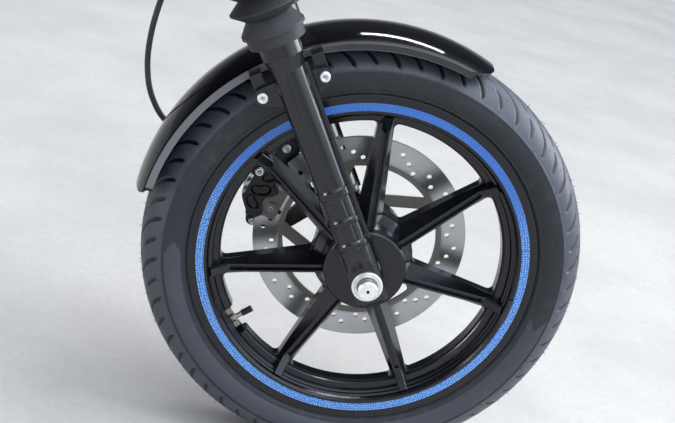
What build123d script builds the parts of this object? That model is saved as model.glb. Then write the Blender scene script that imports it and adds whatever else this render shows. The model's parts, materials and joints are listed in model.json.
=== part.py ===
from build123d import *
import math
import os

# Front end of a cruiser motorcycle: cast wheel, telescopic fork, mudguard and disc brake.
# Row frame: +X forward, +Y to the rider's left, +Z up, millimetres, at the real rake.
# The origin is on the steering stem, at the shoulder where the lower bearing sits.
# Fork pieces are drawn in the leg frame: origin at the axle, x forward across the leg,
# y to the left, z up along the leg. Wheel pieces are drawn upright about the axle.

# Steering geometry
rake = 32.0                  # degrees back from vertical
yoke_offset = 56.0           # leg line ahead of the steering line
leg_y = 96.0                 # middle of each leg, to each side
stem_shoulder_z = 548.0      # bearing shoulder above the axle, along the leg

# Fit clearances
seat_gap = 0.3               # between solids of different bodies, and round curved seats
axle_gap = 0.08              # running fit of the bearings on the axle

# Tyre and rim
rim_seat_r = 218.5           # bead seat
rim_flange_h = 13.8          # flange above the seat
rim_flange_t = 4.6
rim_half_w = 36.5
rim_well_depth = 13.5        # well below the seat
rim_face_w = 26.3            # flat side face, inward from the flange's edge
rim_depth = 27.5             # seat down to the bore between the spokes
rim_well_half_w = 9.0
barrel_wall_w = 8.0          # first plain stretch inside the side face
ridge_h = 2.4                # two ridges step down inside the barrel
ridge_w = 2.0
ridge_slope = 1.2
ridge_drop = 1.5             # each ridge's foot lies this much further in
ridge_pitch = 7.0
ridge_count = 2
rib_w = 8.0                  # raised band round the bore
rib_half_w = 13.2
tape_inset = 5.0             # tape in from the side face's inner edge
tape_w = 10.5
tape_t = 0.5
tyre_h = 77.5                # tread above the bead seat
tyre_crown_r = 50.0
tyre_edge_y = 45.7           # where tread meets sidewall
tyre_side_y = 48.5
tyre_wall = 9.0
tyre_gap = 0.2               # tyre clear of the rim it sits on

# Spokes and hub
spoke_count = 7
spoke_phase = 42.4           # degrees up from forward to the first spoke
spoke_root_r = 44.0
spoke_root_half_w = 17.0
spoke_root_right_t = 45.0    # root depth towards the hub's long right end
spoke_root_left_t = 24.0
spoke_tip_half_w = 10.5
spoke_tip_t = 14.0
spoke_flank = 0.36           # share of the depth where the roof's slopes start
spoke_land_w = 2.3           # bright land each side of the groove
groove_half_w = 3.2
groove_floor_half_w = 2.2
groove_depth = 6.0
web_half_t = 8.0
web_ledge = 1.5              # the web stands this far inside the rim's bore
window_inner_r = 68.0
window_tip_fillet = 7.0
window_root_fillet = 9.0
foot_half_w = 6.5
foot_inner_r = 176.0
foot_round = 2.5
hub_right_y = -60.0
hub_left_y = 52.0
hub_outline = [               # radius and y down the hub's outside, right end first
    (54.0, -58.5),
    (54.8, -46.0),
    (58.0, -33.0),
    (66.0, -14.0),
    (66.0, 10.0),
    (62.0, 26.0),
]
hub_edge = 1.5               # bevel of the right end
bearing_r = 21.0
bearing_w = 14.0

# Valve and its notch in the band
valve_turn = -139.0
notch_len = 40.0
notch_depth = 8.0
valve_base_r = 6.0
valve_stem_r = 3.4
valve_cap_r = 4.5
valve_cap_len = 15.0
valve_base_len = 4.0
valve_stem_len = 14.0

# Brake disc
disc_r = 148.0
disc_inner_r = 114.0
disc_t = 4.0
disc_hole_r = 3.4
disc_hole_groups = 10
disc_row_turn = -6.0         # degrees from hole to hole along a slanted row
disc_rows = [                # margins inside the outer and inner edge, first angle, holes
    (14.0, 4.0, 77.0, 3),
    (18.0, 8.0, 55.9, 2),
]
carrier_t = 5.0
carrier_gap = 0.2            # its ring clear of the disc's inner edge
carrier_bore_r = 36.0
carrier_plate_r = 58.0
carrier_ring_w = 7.5
carrier_arms = 5
carrier_arm_w = 16.0
carrier_arm_turn = 97.3      # degrees to where the first arm leaves the plate, as a tangent
carrier_fillet = 5.0
disc_bolt_pcd = 98.0
disc_bolts = 5
disc_bolt_r = 4.0
disc_bolt_head_r = 7.0
disc_bolt_head_t = 4.0
disc_bolt_turn = 20.0

# Axle
axle_r = 7.5
axle_head_r = 20.0
axle_head_t = 3.0
axle_cap_r = 13.0
axle_cap_len = 15.0
axle_step_w = 2.8            # step round the cap's foot
axle_dimple_r = 2.0
axle_nut_t = 11.0
spacer_r = 14.0

# Fork
lug_inner_y = 76.0           # inner face of the axle lugs
lug_outer_y = 108.0
lug_half_w = 20.5
lug_low_z = -29.0
lug_top_z = 58.0
lug_corner = 8.0
lug_edge = 4.0               # bevel round the lug's outer face
foot_tube_z = 24.0           # the leg's round outside starts here, above the axle head
foot_tube_rise = 26.0        # and slopes out from the lug over this height
leg_r = 20.8
leg_rings = [                # bottom and top of each raised ring
    (58.0, 64.0),
    (92.0, 97.0),
    (129.0, 138.0),
]
leg_ring_h = 1.6
leg_neck_z = 300.0           # the leg widens to its collar above this
leg_collar_r = 26.0
leg_collar_len = 20.0
leg_top_z = 338.0
flute_r = 5.0
flute_depth = 1.5
flute_turns = (-52.0, -12.0, 28.0)   # degrees from straight outward, forward positive
fin_reach = 24.6             # the fin down the front of the leg
fin_t = 3.0
stanchion_r = 18.5
stanchion_wall = 2.5
stanchion_foot_z = 210.0
gaiter_peak_r = 43.5
gaiter_valley_r = 28.0
gaiter_wall = 2.5
gaiter_folds = 5
gaiter_cuff_r = 36.0
gaiter_cuff_h = 13.0
gaiter_lip_r = 39.5
gaiter_lip_h = 5.0
gaiter_grip = 2.0            # reach of the cuff down over the leg's collar
gaiter_rise = 15.5           # from the lip up to the first valley
gaiter_neck_h = 12.0
lower_yoke_z = 510.0
lower_yoke_t = 34.0
upper_yoke_z = 724.0
upper_yoke_t = 24.0
yoke_web_drop = 7.0          # the web is this much thinner than its clamps, above
stanchion_stand = 16.0       # the legs' tops above the upper yoke
clamp_wall = 10.0
yoke_scoop = 10.0            # depth of the hollow along a yoke's front edge
stem_boss_r = 29.0
stem_seat_r = 15.0
stem_seat_len = 14.0
stem_collar_w = 4.0
stem_r = 12.5
stem_wall = 3.5
stem_stand = 14.0            # the stem's top above the upper yoke
stem_nut_r = 19.0
stem_nut_t = 11.0
riser_spacing = 96.0
riser_hole_r = 5.25
riser_boss_r = 13.0
riser_stand = 6.0
riser_x = -22.0
fork_cap_hex = 12.0
fork_cap_t = 5.0
fork_cap_hex_t = 8.0
clamp_gap = 0.05             # pipe in clamp

# Mudguard
guard_bolt_drop = 27.7       # bolts below the crown
guard_bolt_x = (-42.0, 38.0)
guard_bolt_r = 4.0
guard_bolt_head_r = 6.8
guard_bolt_head_t = 5.5
guard_lug_y = 75.0
guard_lug_t = 8.0
guard_lug_r = 10.5
guard_lug_root = 9.0         # how far from the leg's line each ear starts
guard_centre = (-14.5, 15.0)  # arc centre from the axle, forward and up
guard_stand = 3.7            # the crown's radius beyond the tread's
guard_arch_r = 165.0
guard_crease_y = 58.0        # where the crown turns down into the side flange
guard_half_w = 61.0
guard_flange_h = 11.0
guard_t = 2.5
guard_start = 67.0           # degrees about the arc centre
guard_end = 175.0
guard_nose_round = 42.0
guard_tail_round = 22.0
stay_t = 3.0
stay_r = 9.0
stay_w = 15.0                # uprights and tabs
stay_pad_h = 9.0
stay_reach = 0.3             # the stays' tops above the crown's radius

# Brake caliper: out from the disc's edge and back along it, unless a name says otherwise
caliper_angle = 133.0
caliper_out_y = 92.0
caliper_finger_t = 7.5       # plate on the wheel's side of the disc
caliper_edge = 2.5
caliper_spine = [            # rounds that its outline is pulled round: out, along, radius
    (18.0, -26.0, 12.0),
    (16.0, 0.0, 14.5),
    (4.0, 24.0, 12.0),
    (-18.0, -10.0, 18.0),
    (-23.0, 12.0, 12.0),
]
caliper_bridge = 6.0         # the bridge crosses this far outside the disc
piston_rounds = [            # pistons on the outer side: out, along, radius
    (-16.0, -20.0, 21.0),
    (-16.0, 20.0, 21.0),
]
caliper_pockets = [          # hollows cast in the wheel side: out, along, length, turn
    (9.0, -20.0, 20.0, 62.0),
    (12.0, 1.0, 22.0, 84.0),
    (5.0, 20.0, 16.0, 110.0),
]
pocket_r = 5.0
pocket_depth = 2.2
pad_t = 7.0
pad_plate_t = 4.0
pad_ears = [(-17.0, -18.5), (-18.0, 15.0)]
pad_ear_r = 8.5
pad_pin_r = 2.6
pad_half_len = 30.0
pad_gap = 0.4                # lining clear of the disc
caliper_bolt_z = (62.0, 153.0)
caliper_bolt_x = -52.0
caliper_bolt_r = 4.0
caliper_bolt_head_r = 6.5
caliper_bolt_head_t = 6.0
caliper_lug_y = 78.0
caliper_lug_t = 12.0
caliper_lug_r = 13.0
bracket_t = 8.0
boss_r = 11.5
boss_y = 62.5
slider_r = 4.0
slider_head_r = 6.0
slider_lug_r = 9.5
short_slider = (-6.1, 48.2)
long_slider = (21.5, -29.0)
slider_gap = 0.1
slider_head_t = 4.0
caliper_ear_t = 8.0
bracket_elbow = (-48.0, 34.0, 10.0)   # out, along, radius
block_gap = 0.4              # bracket clear of the cylinders
bolt_gap = 0.2               # bolt in its hole

# Brake hose
hose_r = 4.0
crimp_r = 5.5
crimp_len = 12.0
banjo_r = 8.0
banjo_bolt_r = 6.0
banjo_reach = 13.0           # eye centre before the hose's end
block_size = (24.0, 20.0, 16.0)
block_x = -40.0

rake_rad = math.radians(rake)
axle_x = yoke_offset * math.cos(rake_rad) + stem_shoulder_z * math.sin(rake_rad)
axle_z = yoke_offset * math.sin(rake_rad) - stem_shoulder_z * math.cos(rake_rad)
axle_point = (axle_x, 0, axle_z)
tyre_r = rim_seat_r + tyre_h
guard_r = tyre_r + guard_stand
guard_bolt_z = guard_r - guard_bolt_drop
stay_top_z = guard_r + stay_reach
rim_flange_r = rim_seat_r + rim_flange_h
rim_well_r = rim_seat_r - rim_well_depth
rim_face_r = rim_flange_r - rim_face_w
rim_bore_r = rim_seat_r - rim_depth
gaiter_top_z = lower_yoke_z - seat_gap
stanchion_top_z = upper_yoke_z + upper_yoke_t + stanchion_stand
stem_top_z = upper_yoke_z + upper_yoke_t + stem_stand
disc_mid_y = hub_left_y + carrier_t / 2
pad_back = disc_t / 2 + pad_t
caliper_in_y = disc_mid_y - pad_back - caliper_finger_t


def on_leg(shape):
    """Places a shape drawn in the leg frame."""
    return Pos(*axle_point) * Rot(0, -rake, 0) * shape


def on_wheel(shape):
    """Places a shape drawn upright about the axle."""
    return Pos(*axle_point) * shape


def rod_y(radius, y0, y1, x=0.0, z=0.0):
    return Pos(x, (y0 + y1) / 2, z) * Rot(90, 0, 0) * Cylinder(radius, abs(y1 - y0))


def rod_z(radius, z0, z1, x=0.0, y=0.0):
    return Pos(x, y, (z0 + z1) / 2) * Cylinder(radius, z1 - z0)


def tube_y(outer, inner, y0, y1, x=0.0, z=0.0):
    return rod_y(outer, y0, y1, x, z) - rod_y(inner, y0 - 1, y1 + 1, x, z)


def ring_of(points):
    """Revolves a closed outline of (radius, y) points about the axle line."""
    return revolve(make_face(Polyline(*points, close=True)), Axis.Y)


def turned(points):
    """Revolves a closed outline of (radius, z) points about the leg line."""
    return revolve(Plane.XZ * make_face(Polyline(*points, close=True)), Axis.Z)


def slab_y(face, y0, y1):
    """Gives a face drawn as (x, z) its thickness between y0 and y1."""
    low, high = min(y0, y1), max(y0, y1)
    return Pos(0, high, 0) * extrude(Plane.XZ * face, high - low)


def hull_of(rounds):
    """Outline pulled tight round circles given as (x, z, radius)."""
    return make_hull([edge for x, z, radius in rounds
                      for edge in (Pos(x, z) * Circle(radius)).edges()])


def polar(radius, degrees):
    turn = math.radians(degrees)
    return radius * math.cos(turn), radius * math.sin(turn)


def one(shape):
    solids = ShapeList(shape).solids() if isinstance(shape, list) else shape.solids()
    return solids[0] if len(solids) == 1 else Compound(solids)


# Wheel

def make_tyre():
    crown_z = tyre_r - tyre_crown_r
    edge_angle = math.asin(tyre_edge_y / tyre_crown_r)
    edge_r = crown_z + tyre_crown_r * math.cos(edge_angle)
    bead_y = rim_half_w - rim_flange_t - tyre_gap
    bead_r = rim_seat_r + tyre_gap
    lip_y = rim_half_w + 5 * tyre_gap
    lip_r = rim_flange_r + 5 * tyre_gap
    inner_crown_r = tyre_crown_r - tyre_wall
    crown = ThreePointArc((edge_r, -tyre_edge_y), (tyre_r, 0), (edge_r, tyre_edge_y))
    side_mid = (edge_r + lip_r) / 2 + 3
    right = ThreePointArc((lip_r, -lip_y), (side_mid, -tyre_side_y), (edge_r, -tyre_edge_y))
    left = ThreePointArc((edge_r, tyre_edge_y), (side_mid, tyre_side_y), (lip_r, lip_y))
    inner_edge = edge_r - 2
    inner_y = tyre_side_y - tyre_wall
    beads_l = Polyline((lip_r, lip_y), (lip_r, bead_y), (bead_r, bead_y), (bead_r, bead_y - 10),
                       (bead_r + 12, bead_y - 8), (side_mid, inner_y), (inner_edge, inner_y - 3))
    beads_r = Polyline((lip_r, -lip_y), (lip_r, -bead_y), (bead_r, -bead_y),
                       (bead_r, -bead_y + 10), (bead_r + 12, -bead_y + 8), (side_mid, -inner_y),
                       (inner_edge, -inner_y + 3))
    inside = ThreePointArc((inner_edge, inner_y - 3), (crown_z + inner_crown_r, 0),
                           (inner_edge, -inner_y + 3))
    outline = Wire([*crown.edges(), *left.edges(), *beads_l.edges(), *inside.edges(),
                    *beads_r.edges(), *right.edges()])
    return revolve(make_face(outline), Axis.Y)


def rim_profile():
    """Closed outline of the rim as (radius, y): side face, ridged barrel, band and well."""
    seat_y = rim_half_w - rim_flange_t
    half = [(rim_flange_r, seat_y + 0.6), (rim_flange_r, rim_half_w - 0.8),
            (rim_flange_r - 1.2, rim_half_w), (rim_face_r + 1.5, rim_half_w),
            (rim_face_r - 1, rim_half_w - 3)]
    foot_r = rim_face_r - 2
    y = rim_half_w - barrel_wall_w
    for k in range(ridge_count):
        half += [(foot_r, y), (foot_r - ridge_h, y - ridge_slope),
                 (foot_r - ridge_h, y - ridge_slope - ridge_w)]
        foot_r -= ridge_drop
        half += [(foot_r, y - 2 * ridge_slope - ridge_w)]
        y -= ridge_pitch
    half += [(rim_bore_r + rib_w, rib_half_w + 1.2), (rim_bore_r + 1.2, rib_half_w),
             (rim_bore_r, rib_half_w - 1.2)]
    outer = [(rim_well_r, rim_well_half_w), (rim_seat_r - 3, 2 * rim_well_half_w - 1),
             (rim_seat_r, seat_y)]
    left = half[::-1] + outer[::-1]
    return left + [(r, -y) for r, y in reversed(left)]


def make_window():
    """One gap between two spokes, as a face in (x, z) with its own rounded corners."""
    pitch = 2 * math.pi / spoke_count
    outer_r = rim_bore_r - web_ledge
    corners = []
    for side in (-1, 1):
        for radius in (window_inner_r, outer_r):
            share = (radius - spoke_root_r) / (rim_bore_r - spoke_root_r)
            half_w = spoke_root_half_w + share * (spoke_tip_half_w - spoke_root_half_w)
            turn = pitch / 2 - math.asin(half_w / radius)
            corners.append((radius * math.cos(turn), side * radius * math.sin(turn)))
    lo_in, lo_out, hi_in, hi_out = corners
    outer = ThreePointArc(lo_out, (outer_r, 0), hi_out)
    inner = ThreePointArc(hi_in, (window_inner_r, 0), lo_in)
    face = make_face(Wire([Line(lo_in, lo_out).edge(), outer.edge(), Line(hi_out, hi_in).edge(),
                           inner.edge()]))
    middle = (window_inner_r + outer_r) / 2
    face = fillet(face.vertices().filter_by(lambda v: v.X > middle), window_tip_fillet)
    roots = face.vertices().filter_by(lambda v: v.X < window_inner_r + 2)
    return fillet(roots, window_root_fillet)


def spoke_section(half_w, right_t, left_t, radius):
    """Outline of a spoke across its length: a roof on each side, with a groove down its ridge."""
    outline = []
    for side, depth in ((-1, right_t), (1, left_t)):
        roof = [(half_w, side * depth * spoke_flank), (groove_half_w + spoke_land_w, side * depth),
                (groove_half_w, side * depth),
                (groove_floor_half_w, side * (depth - groove_depth))]
        roof += [(-x, y) for x, y in reversed(roof)]
        outline += roof if side < 0 else roof[::-1]
    return Pos(radius, 0, 0) * Rot(0, 90, 0) * make_face(Polyline(*outline, close=True))


def make_spoke():
    """A spoke along +x, with the feet that climb from its tip over the barrel's ridges."""
    root = spoke_section(spoke_root_half_w, spoke_root_right_t, spoke_root_left_t, spoke_root_r)
    tip = spoke_section(spoke_tip_half_w, spoke_tip_t, spoke_tip_t, rim_bore_r + 3)
    arm = loft([root, tip], ruled=True)
    for side in (-1, 1):
        top = rim_half_w - 4
        outline = [(foot_inner_r, side * web_half_t), (foot_inner_r, side * (spoke_tip_t + 0.5)),
                   (rim_face_r - 4, side * top), (rim_face_r, side * web_half_t)]
        foot = extrude(make_face(Polyline(*outline, close=True)), foot_half_w, both=True)
        slope = foot.edges().filter_by(
            lambda e: abs(e.center().Y) > spoke_tip_t + 1 and e.length > 2.5 * foot_half_w)
        arm += fillet(slope, foot_round)
    return arm


def make_wheel_casting():
    pitch = 360 / spoke_count
    turns = [spoke_phase + k * pitch for k in range(spoke_count)]
    rim = ring_of(rim_profile())
    window = slab_y(make_window(), -rim_half_w, rim_half_w)
    web = rod_y(rim_bore_r + 3, -web_half_t, web_half_t)
    web = web.cut(*[Rot(0, -turn - pitch / 2, 0) * window for turn in turns])
    right_r = hub_outline[0][0] - hub_edge
    left_r = hub_outline[-1][0]
    hub = ring_of([(0, hub_right_y), (right_r, hub_right_y), *hub_outline, (left_r, hub_left_y),
                   (0, hub_left_y)])
    spoke = make_spoke()
    body = rim.fuse(web, hub, *[Rot(0, -turn, 0) * spoke for turn in turns])
    notch = Box(notch_depth + 4, 2 * rib_half_w + 6, notch_len)
    body -= Rot(0, -valve_turn, 0) * Pos(rim_bore_r + notch_depth / 2 - 2, 0, 0) * notch
    pocket_r = bearing_r + axle_gap
    bore = rod_y(pocket_r, hub_right_y - 1, hub_right_y + bearing_w)
    bore += rod_y(pocket_r, hub_left_y - bearing_w, hub_left_y + 1)
    bore += rod_y(bearing_r - 4, hub_right_y - 1, hub_left_y + 1)
    return one(body - bore)


def make_bearing(y0):
    return tube_y(bearing_r, axle_r + axle_gap, y0, y0 + bearing_w)


def make_disc_ring():
    ring = tube_y(disc_r, disc_inner_r, disc_mid_y - disc_t / 2, disc_mid_y + disc_t / 2)
    holes = []
    for outer, inner, first_turn, count in disc_rows:
        step_r = (disc_r - outer - disc_inner_r - inner) / (count - 1)
        for k in range(disc_hole_groups):
            for step in range(count):
                turn = first_turn + step * disc_row_turn + k * 360 / disc_hole_groups
                holes.append(rod_y(disc_hole_r, disc_mid_y - disc_t, disc_mid_y + disc_t,
                                   *polar(disc_r - outer - step * step_r, turn)))
    return ring.cut(*holes)


def make_carrier():
    """Plate with arms that leave it as tangents and run out to the ring that holds the disc."""
    y0 = hub_left_y
    y1 = hub_left_y + carrier_t
    inner_r = disc_inner_r - carrier_ring_w
    half_w = carrier_arm_w / 2
    low, high = carrier_plate_r - half_w, carrier_plate_r + half_w
    reach = math.sqrt(inner_r ** 2 - low ** 2) + 2
    arm = make_face(Polyline((low - half_w, 40), (high, -5), (high, -reach), (low, -reach),
                             (low, -20), close=True))
    solid = Circle(carrier_plate_r)
    for k in range(carrier_arms):
        solid += Rot(0, 0, carrier_arm_turn + k * 360 / carrier_arms) * arm
    plate = tube_y(disc_inner_r - carrier_gap, carrier_bore_r, y0, y1)
    for window in (Circle(inner_r) - solid).faces():
        plate -= slab_y(fillet(window.vertices(), carrier_fillet), y0 - 1, y1 + 1)
    for x, z in disc_bolt_places():
        plate -= rod_y(disc_bolt_r + bolt_gap, y0 - 1, y1 + 1, x, z)
    return one(plate)


def disc_bolt_places():
    pitch = 360 / disc_bolts
    return [polar(disc_bolt_pcd / 2, disc_bolt_turn + k * pitch) for k in range(disc_bolts)]


def make_disc_bolts():
    y1 = hub_left_y + carrier_t
    bolts = []
    for x, z in disc_bolt_places():
        head = rod_y(disc_bolt_head_r, y1, y1 + disc_bolt_head_t, x, z)
        bolts.append((head + rod_y(disc_bolt_r, hub_left_y + 0.1, y1 + 1, x, z)).solid())
    return Compound(bolts)


def make_tape(side):
    inner = rim_face_r + tape_inset
    return tube_y(inner + tape_w, inner, *sorted((side * rim_half_w, side * (rim_half_w + tape_t))))


def make_valve():
    """Valve on the flat that the notch cuts in the band, pointing at the axle."""
    seat_r = rim_bore_r + notch_depth
    cap_r = seat_r - valve_stem_len
    valve = rod_z(valve_base_r, seat_r - valve_base_len, seat_r - 0.1)
    valve += rod_z(valve_stem_r, cap_r - 1, seat_r - valve_base_len + 1)
    valve += rod_z(valve_cap_r, cap_r - valve_cap_len, cap_r)
    return Rot(0, 90 - valve_turn, 0) * valve


def make_balance_weight():
    """Clip-on weight that follows the inner corner of the rim's right face."""
    y = -rim_half_w
    outline = [(rim_face_r + 4.8, y - 0.2), (rim_face_r + 4.8, y - 3), (rim_face_r, y - 4),
               (rim_face_r - 2.5, y - 1), (rim_face_r - 1.6, y + 2.6), (rim_face_r + 1.3, y - 0.2)]
    face = make_face(Polyline(*outline, close=True))
    return Rot(0, 3, 0) * revolve(face, Axis.Y, 10)


# Fork

def make_axle():
    """Axle with a flanged head, a step and a cap that is dimpled in its middle."""
    head_y = -lug_outer_y - axle_head_t
    cap_y = head_y - axle_cap_len
    head = rod_y(axle_head_r, head_y, -lug_outer_y)
    head = fillet(head.edges().sort_by(Axis.Y)[0], axle_head_t / 4)
    step = rod_y(axle_cap_r + axle_step_w, head_y - 1, head_y + 1)
    cap = rod_y(axle_cap_r, cap_y, head_y + 1)
    cap = chamfer(cap.edges().sort_by(Axis.Y)[0], axle_step_w / 2)
    dimple = rod_y(axle_dimple_r, cap_y - 1, cap_y + 5)
    shaft = rod_y(axle_r, head_y, lug_outer_y + axle_nut_t + axle_head_t)
    return head + step + cap + shaft - dimple


def make_axle_nut():
    nut = slab_y(RegularPolygon(axle_cap_r, 6), lug_outer_y, lug_outer_y + axle_nut_t)
    return nut - rod_y(axle_r + clamp_gap, lug_outer_y - 1, lug_outer_y + axle_nut_t + 1)


def make_spacer(y0, y1):
    return tube_y(spacer_r, axle_r + axle_gap, y0, y1)


def leg_profile():
    """Outside of a lower leg as (radius, z) points from its foot up."""
    points = [(0, foot_tube_z), (leg_r, foot_tube_z)]
    for z0, z1 in leg_rings:
        points += [(leg_r, z0 - ridge_h), (leg_r + leg_ring_h, z0), (leg_r + leg_ring_h, z1),
                   (leg_r, z1 + ridge_h)]
    collar_z = leg_top_z - leg_collar_len
    return points + [(leg_r, leg_neck_z), (leg_collar_r - 1, collar_z - 2),
                     (leg_collar_r, collar_z), (leg_collar_r, leg_top_z), (0, leg_top_z)]


def flutes(side):
    """Rods that sink grooves in the leg's outer side, between its rings and up to its neck."""
    reach = leg_r + flute_r - flute_depth
    spans = [(low[1] + 3, high[0] - 3) for low, high in zip(leg_rings, leg_rings[1:])]
    rods = []
    for turn in flute_turns:
        x = reach * math.sin(math.radians(turn))
        y = side * (leg_y + reach * math.cos(math.radians(turn)))
        ends = spans + [(leg_rings[-1][1] + 3, leg_neck_z)] if turn == flute_turns[1] else spans
        rods += [rod_z(flute_r, z0, z1, x, y) for z0, z1 in ends]
    return rods


def guard_lug(x, z):
    """Ear from the leg to one mudguard bolt: wide at the leg and round at the bolt."""
    root_x = math.copysign(guard_lug_root, x)
    return hull_of([(x, z, guard_lug_r), (root_x, z + guard_lug_r, 4),
                    (root_x, z - 2 * guard_lug_r, 4)])


def lug_block(side):
    """Squarish end of the leg that holds the axle, its outer face bevelled all round."""
    block = Box(2 * lug_half_w, lug_outer_y - lug_inner_y, lug_top_z - lug_low_z)
    block = fillet(block.edges().filter_by(Axis.Y), lug_corner)
    block = chamfer(block.faces().sort_by(Axis.Y)[-1 if side > 0 else 0].edges(), lug_edge)
    return Pos(0, side * (lug_inner_y + lug_outer_y) / 2, (lug_top_z + lug_low_z) / 2) * block


def make_fork_lower(side):
    y = side * leg_y
    outer_y = side * lug_outer_y
    far_y = side * (leg_y + leg_r + 1)
    slope = make_face(Polyline((0, outer_y, foot_tube_z - 1), (0, outer_y, foot_tube_z),
                               (0, far_y, foot_tube_z + foot_tube_rise),
                               (0, far_y, foot_tube_z - 1), close=True))
    tube = Pos(0, y, 0) * turned(leg_profile())
    tube -= extrude(slope, 2 * leg_r, dir=(1, 0, 0), both=True)
    adds = [lug_block(side), Pos(fin_reach / 2, y, (lug_top_z + leg_neck_z) / 2) * Box(
        fin_reach, fin_t, leg_neck_z - lug_top_z)]
    cuts = flutes(side)
    for x in guard_bolt_x:
        y0, y1 = guard_lug_y, guard_lug_y + guard_lug_t
        adds.append(slab_y(guard_lug(x, guard_bolt_z), side * y0, side * y1))
        cuts.append(rod_y(guard_bolt_r + bolt_gap, side * (y0 - 1), side * (y1 + 1), x,
                          guard_bolt_z))
    for z in caliper_bolt_z if side > 0 else ():
        y0, y1 = caliper_lug_y, caliper_lug_y + caliper_lug_t
        arm = hull_of([(caliper_bolt_x, z, caliper_lug_r), (0, z - 14, 8), (0, z + 14, 8)])
        adds.append(slab_y(arm, y0, y1))
        cuts.append(rod_y(caliper_bolt_r + bolt_gap, y0 - 1, y1 + 1, caliper_bolt_x, z))
    cuts.append(rod_z(stanchion_r + bolt_gap, stanchion_foot_z - 1, leg_top_z + 1, 0, y))
    cuts.append(rod_y(axle_r + bolt_gap / 2, side * (lug_inner_y - 1), side * (lug_outer_y + 1)))
    return one(tube.fuse(*adds).cut(*cuts))


def make_stanchion(side):
    y = side * leg_y
    return rod_z(stanchion_r, stanchion_foot_z, stanchion_top_z, 0, y) - rod_z(
        stanchion_r - stanchion_wall, stanchion_foot_z - 1, stanchion_top_z + 1, 0, y)


def make_gaiter(side):
    """Bellows with a lipped cuff over the leg's collar and a neck under the lower yoke."""
    cuff_z = leg_top_z - gaiter_grip
    lip_z = cuff_z + gaiter_cuff_h
    fold_z = lip_z + gaiter_lip_h + gaiter_rise
    pitch = (gaiter_top_z - gaiter_neck_h - fold_z) / gaiter_folds
    seat_r = leg_collar_r + seat_gap
    neck_r = stanchion_r + seat_gap
    outer = [(gaiter_cuff_r - 0.8, cuff_z), (gaiter_cuff_r, lip_z), (gaiter_lip_r, lip_z + 1),
             (gaiter_lip_r, lip_z + gaiter_lip_h)]
    inner = [(seat_r, cuff_z), (seat_r, leg_top_z + 1), (gaiter_cuff_r - 3, leg_top_z + 3),
             (gaiter_cuff_r - gaiter_wall, lip_z + 1)]
    for k in range(gaiter_folds):
        low = fold_z + k * pitch
        outer += [(gaiter_valley_r, low), (gaiter_peak_r, low + pitch / 2 - 0.8),
                  (gaiter_peak_r, low + pitch / 2 + 0.8)]
        inner += [(gaiter_valley_r - gaiter_wall, low),
                  (gaiter_peak_r - gaiter_wall, low + pitch / 2)]
    outer += [(gaiter_valley_r, gaiter_top_z - gaiter_neck_h), (gaiter_valley_r, gaiter_top_z)]
    inner += [(neck_r, gaiter_top_z - gaiter_neck_h), (neck_r, gaiter_top_z)]
    return Pos(0, side * leg_y, 0) * turned(outer + inner[::-1])


def yoke_outline(boss_r, clamp_r):
    """Plan of a yoke: a straight-sided web round its three bores, scooped a little in front."""
    rounds = [(-yoke_offset, 0, boss_r)] + [(0, side * leg_y, clamp_r) for side in (-1, 1)]
    half_w = leg_y - clamp_r
    scoop_r = (half_w ** 2 + yoke_scoop ** 2) / (2 * yoke_scoop)
    return hull_of(rounds) - Pos(clamp_r - yoke_scoop + scoop_r, 0) * Circle(scoop_r)


def yoke_plate(boss_r, clamp_r, z0, thick, stem_hole_r):
    """Web, thicker round the two clamps, bored for the legs and the stem."""
    web = extrude(yoke_outline(boss_r, clamp_r), thick - yoke_web_drop)
    edges = web.faces().sort_by(Axis.Z)[-1].edges()
    body = Pos(0, 0, z0) * chamfer(edges, yoke_web_drop / 3)
    body += rod_z(boss_r, z0, z0 + thick, -yoke_offset)
    for side in (-1, 1):
        body += rod_z(clamp_r, z0, z0 + thick, 0, side * leg_y)
        body -= rod_z(stanchion_r + clamp_gap, z0 - 1, z0 + thick + 1, 0, side * leg_y)
    return body - rod_z(stem_hole_r, z0 - 1, z0 + thick + 1, -yoke_offset)


def make_lower_yoke():
    return one(yoke_plate(stem_boss_r, stanchion_r + clamp_wall, lower_yoke_z, lower_yoke_t,
                          stem_seat_r + clamp_gap))


def make_upper_yoke():
    body = yoke_plate(stem_boss_r - 5, stanchion_r + clamp_wall - 1, upper_yoke_z, upper_yoke_t,
                      stem_r + clamp_gap)
    top_z = upper_yoke_z + upper_yoke_t + riser_stand
    for side in (-1, 1):
        y = side * riser_spacing / 2
        body += rod_z(riser_boss_r, upper_yoke_z, top_z, riser_x, y)
        body -= rod_z(riser_hole_r, upper_yoke_z - 1, top_z + 1, riser_x, y)
    return one(body)


def make_stem():
    x = -yoke_offset
    top_of_yoke = lower_yoke_z + lower_yoke_t
    body = rod_z(stem_seat_r, lower_yoke_z, stem_shoulder_z + stem_seat_len, x)
    body += rod_z(stem_seat_r + stem_collar_w, top_of_yoke, stem_shoulder_z, x)
    body += rod_z(stem_r, lower_yoke_z, stem_top_z, x)
    return body - rod_z(stem_r - stem_wall, lower_yoke_z - 1, stem_top_z + 1, x)


def make_stem_nut():
    z = upper_yoke_z + upper_yoke_t
    nut = Pos(-yoke_offset, 0, z) * extrude(RegularPolygon(stem_nut_r, 6), stem_nut_t)
    return nut - rod_z(stem_r + clamp_gap, z - 1, z + stem_nut_t + 1, -yoke_offset)


def make_fork_cap(side):
    y = side * leg_y
    top = stanchion_top_z + fork_cap_t
    cap = rod_z(stanchion_r, stanchion_top_z, top, 0, y)
    cap += Pos(0, y, top - 1) * extrude(RegularPolygon(fork_cap_hex, 6), fork_cap_hex_t + 1)
    plug_r = stanchion_r - stanchion_wall - slider_gap
    return cap + rod_z(plug_r, upper_yoke_z + upper_yoke_t, stanchion_top_z + 1, 0, y)


# Mudguard

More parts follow.
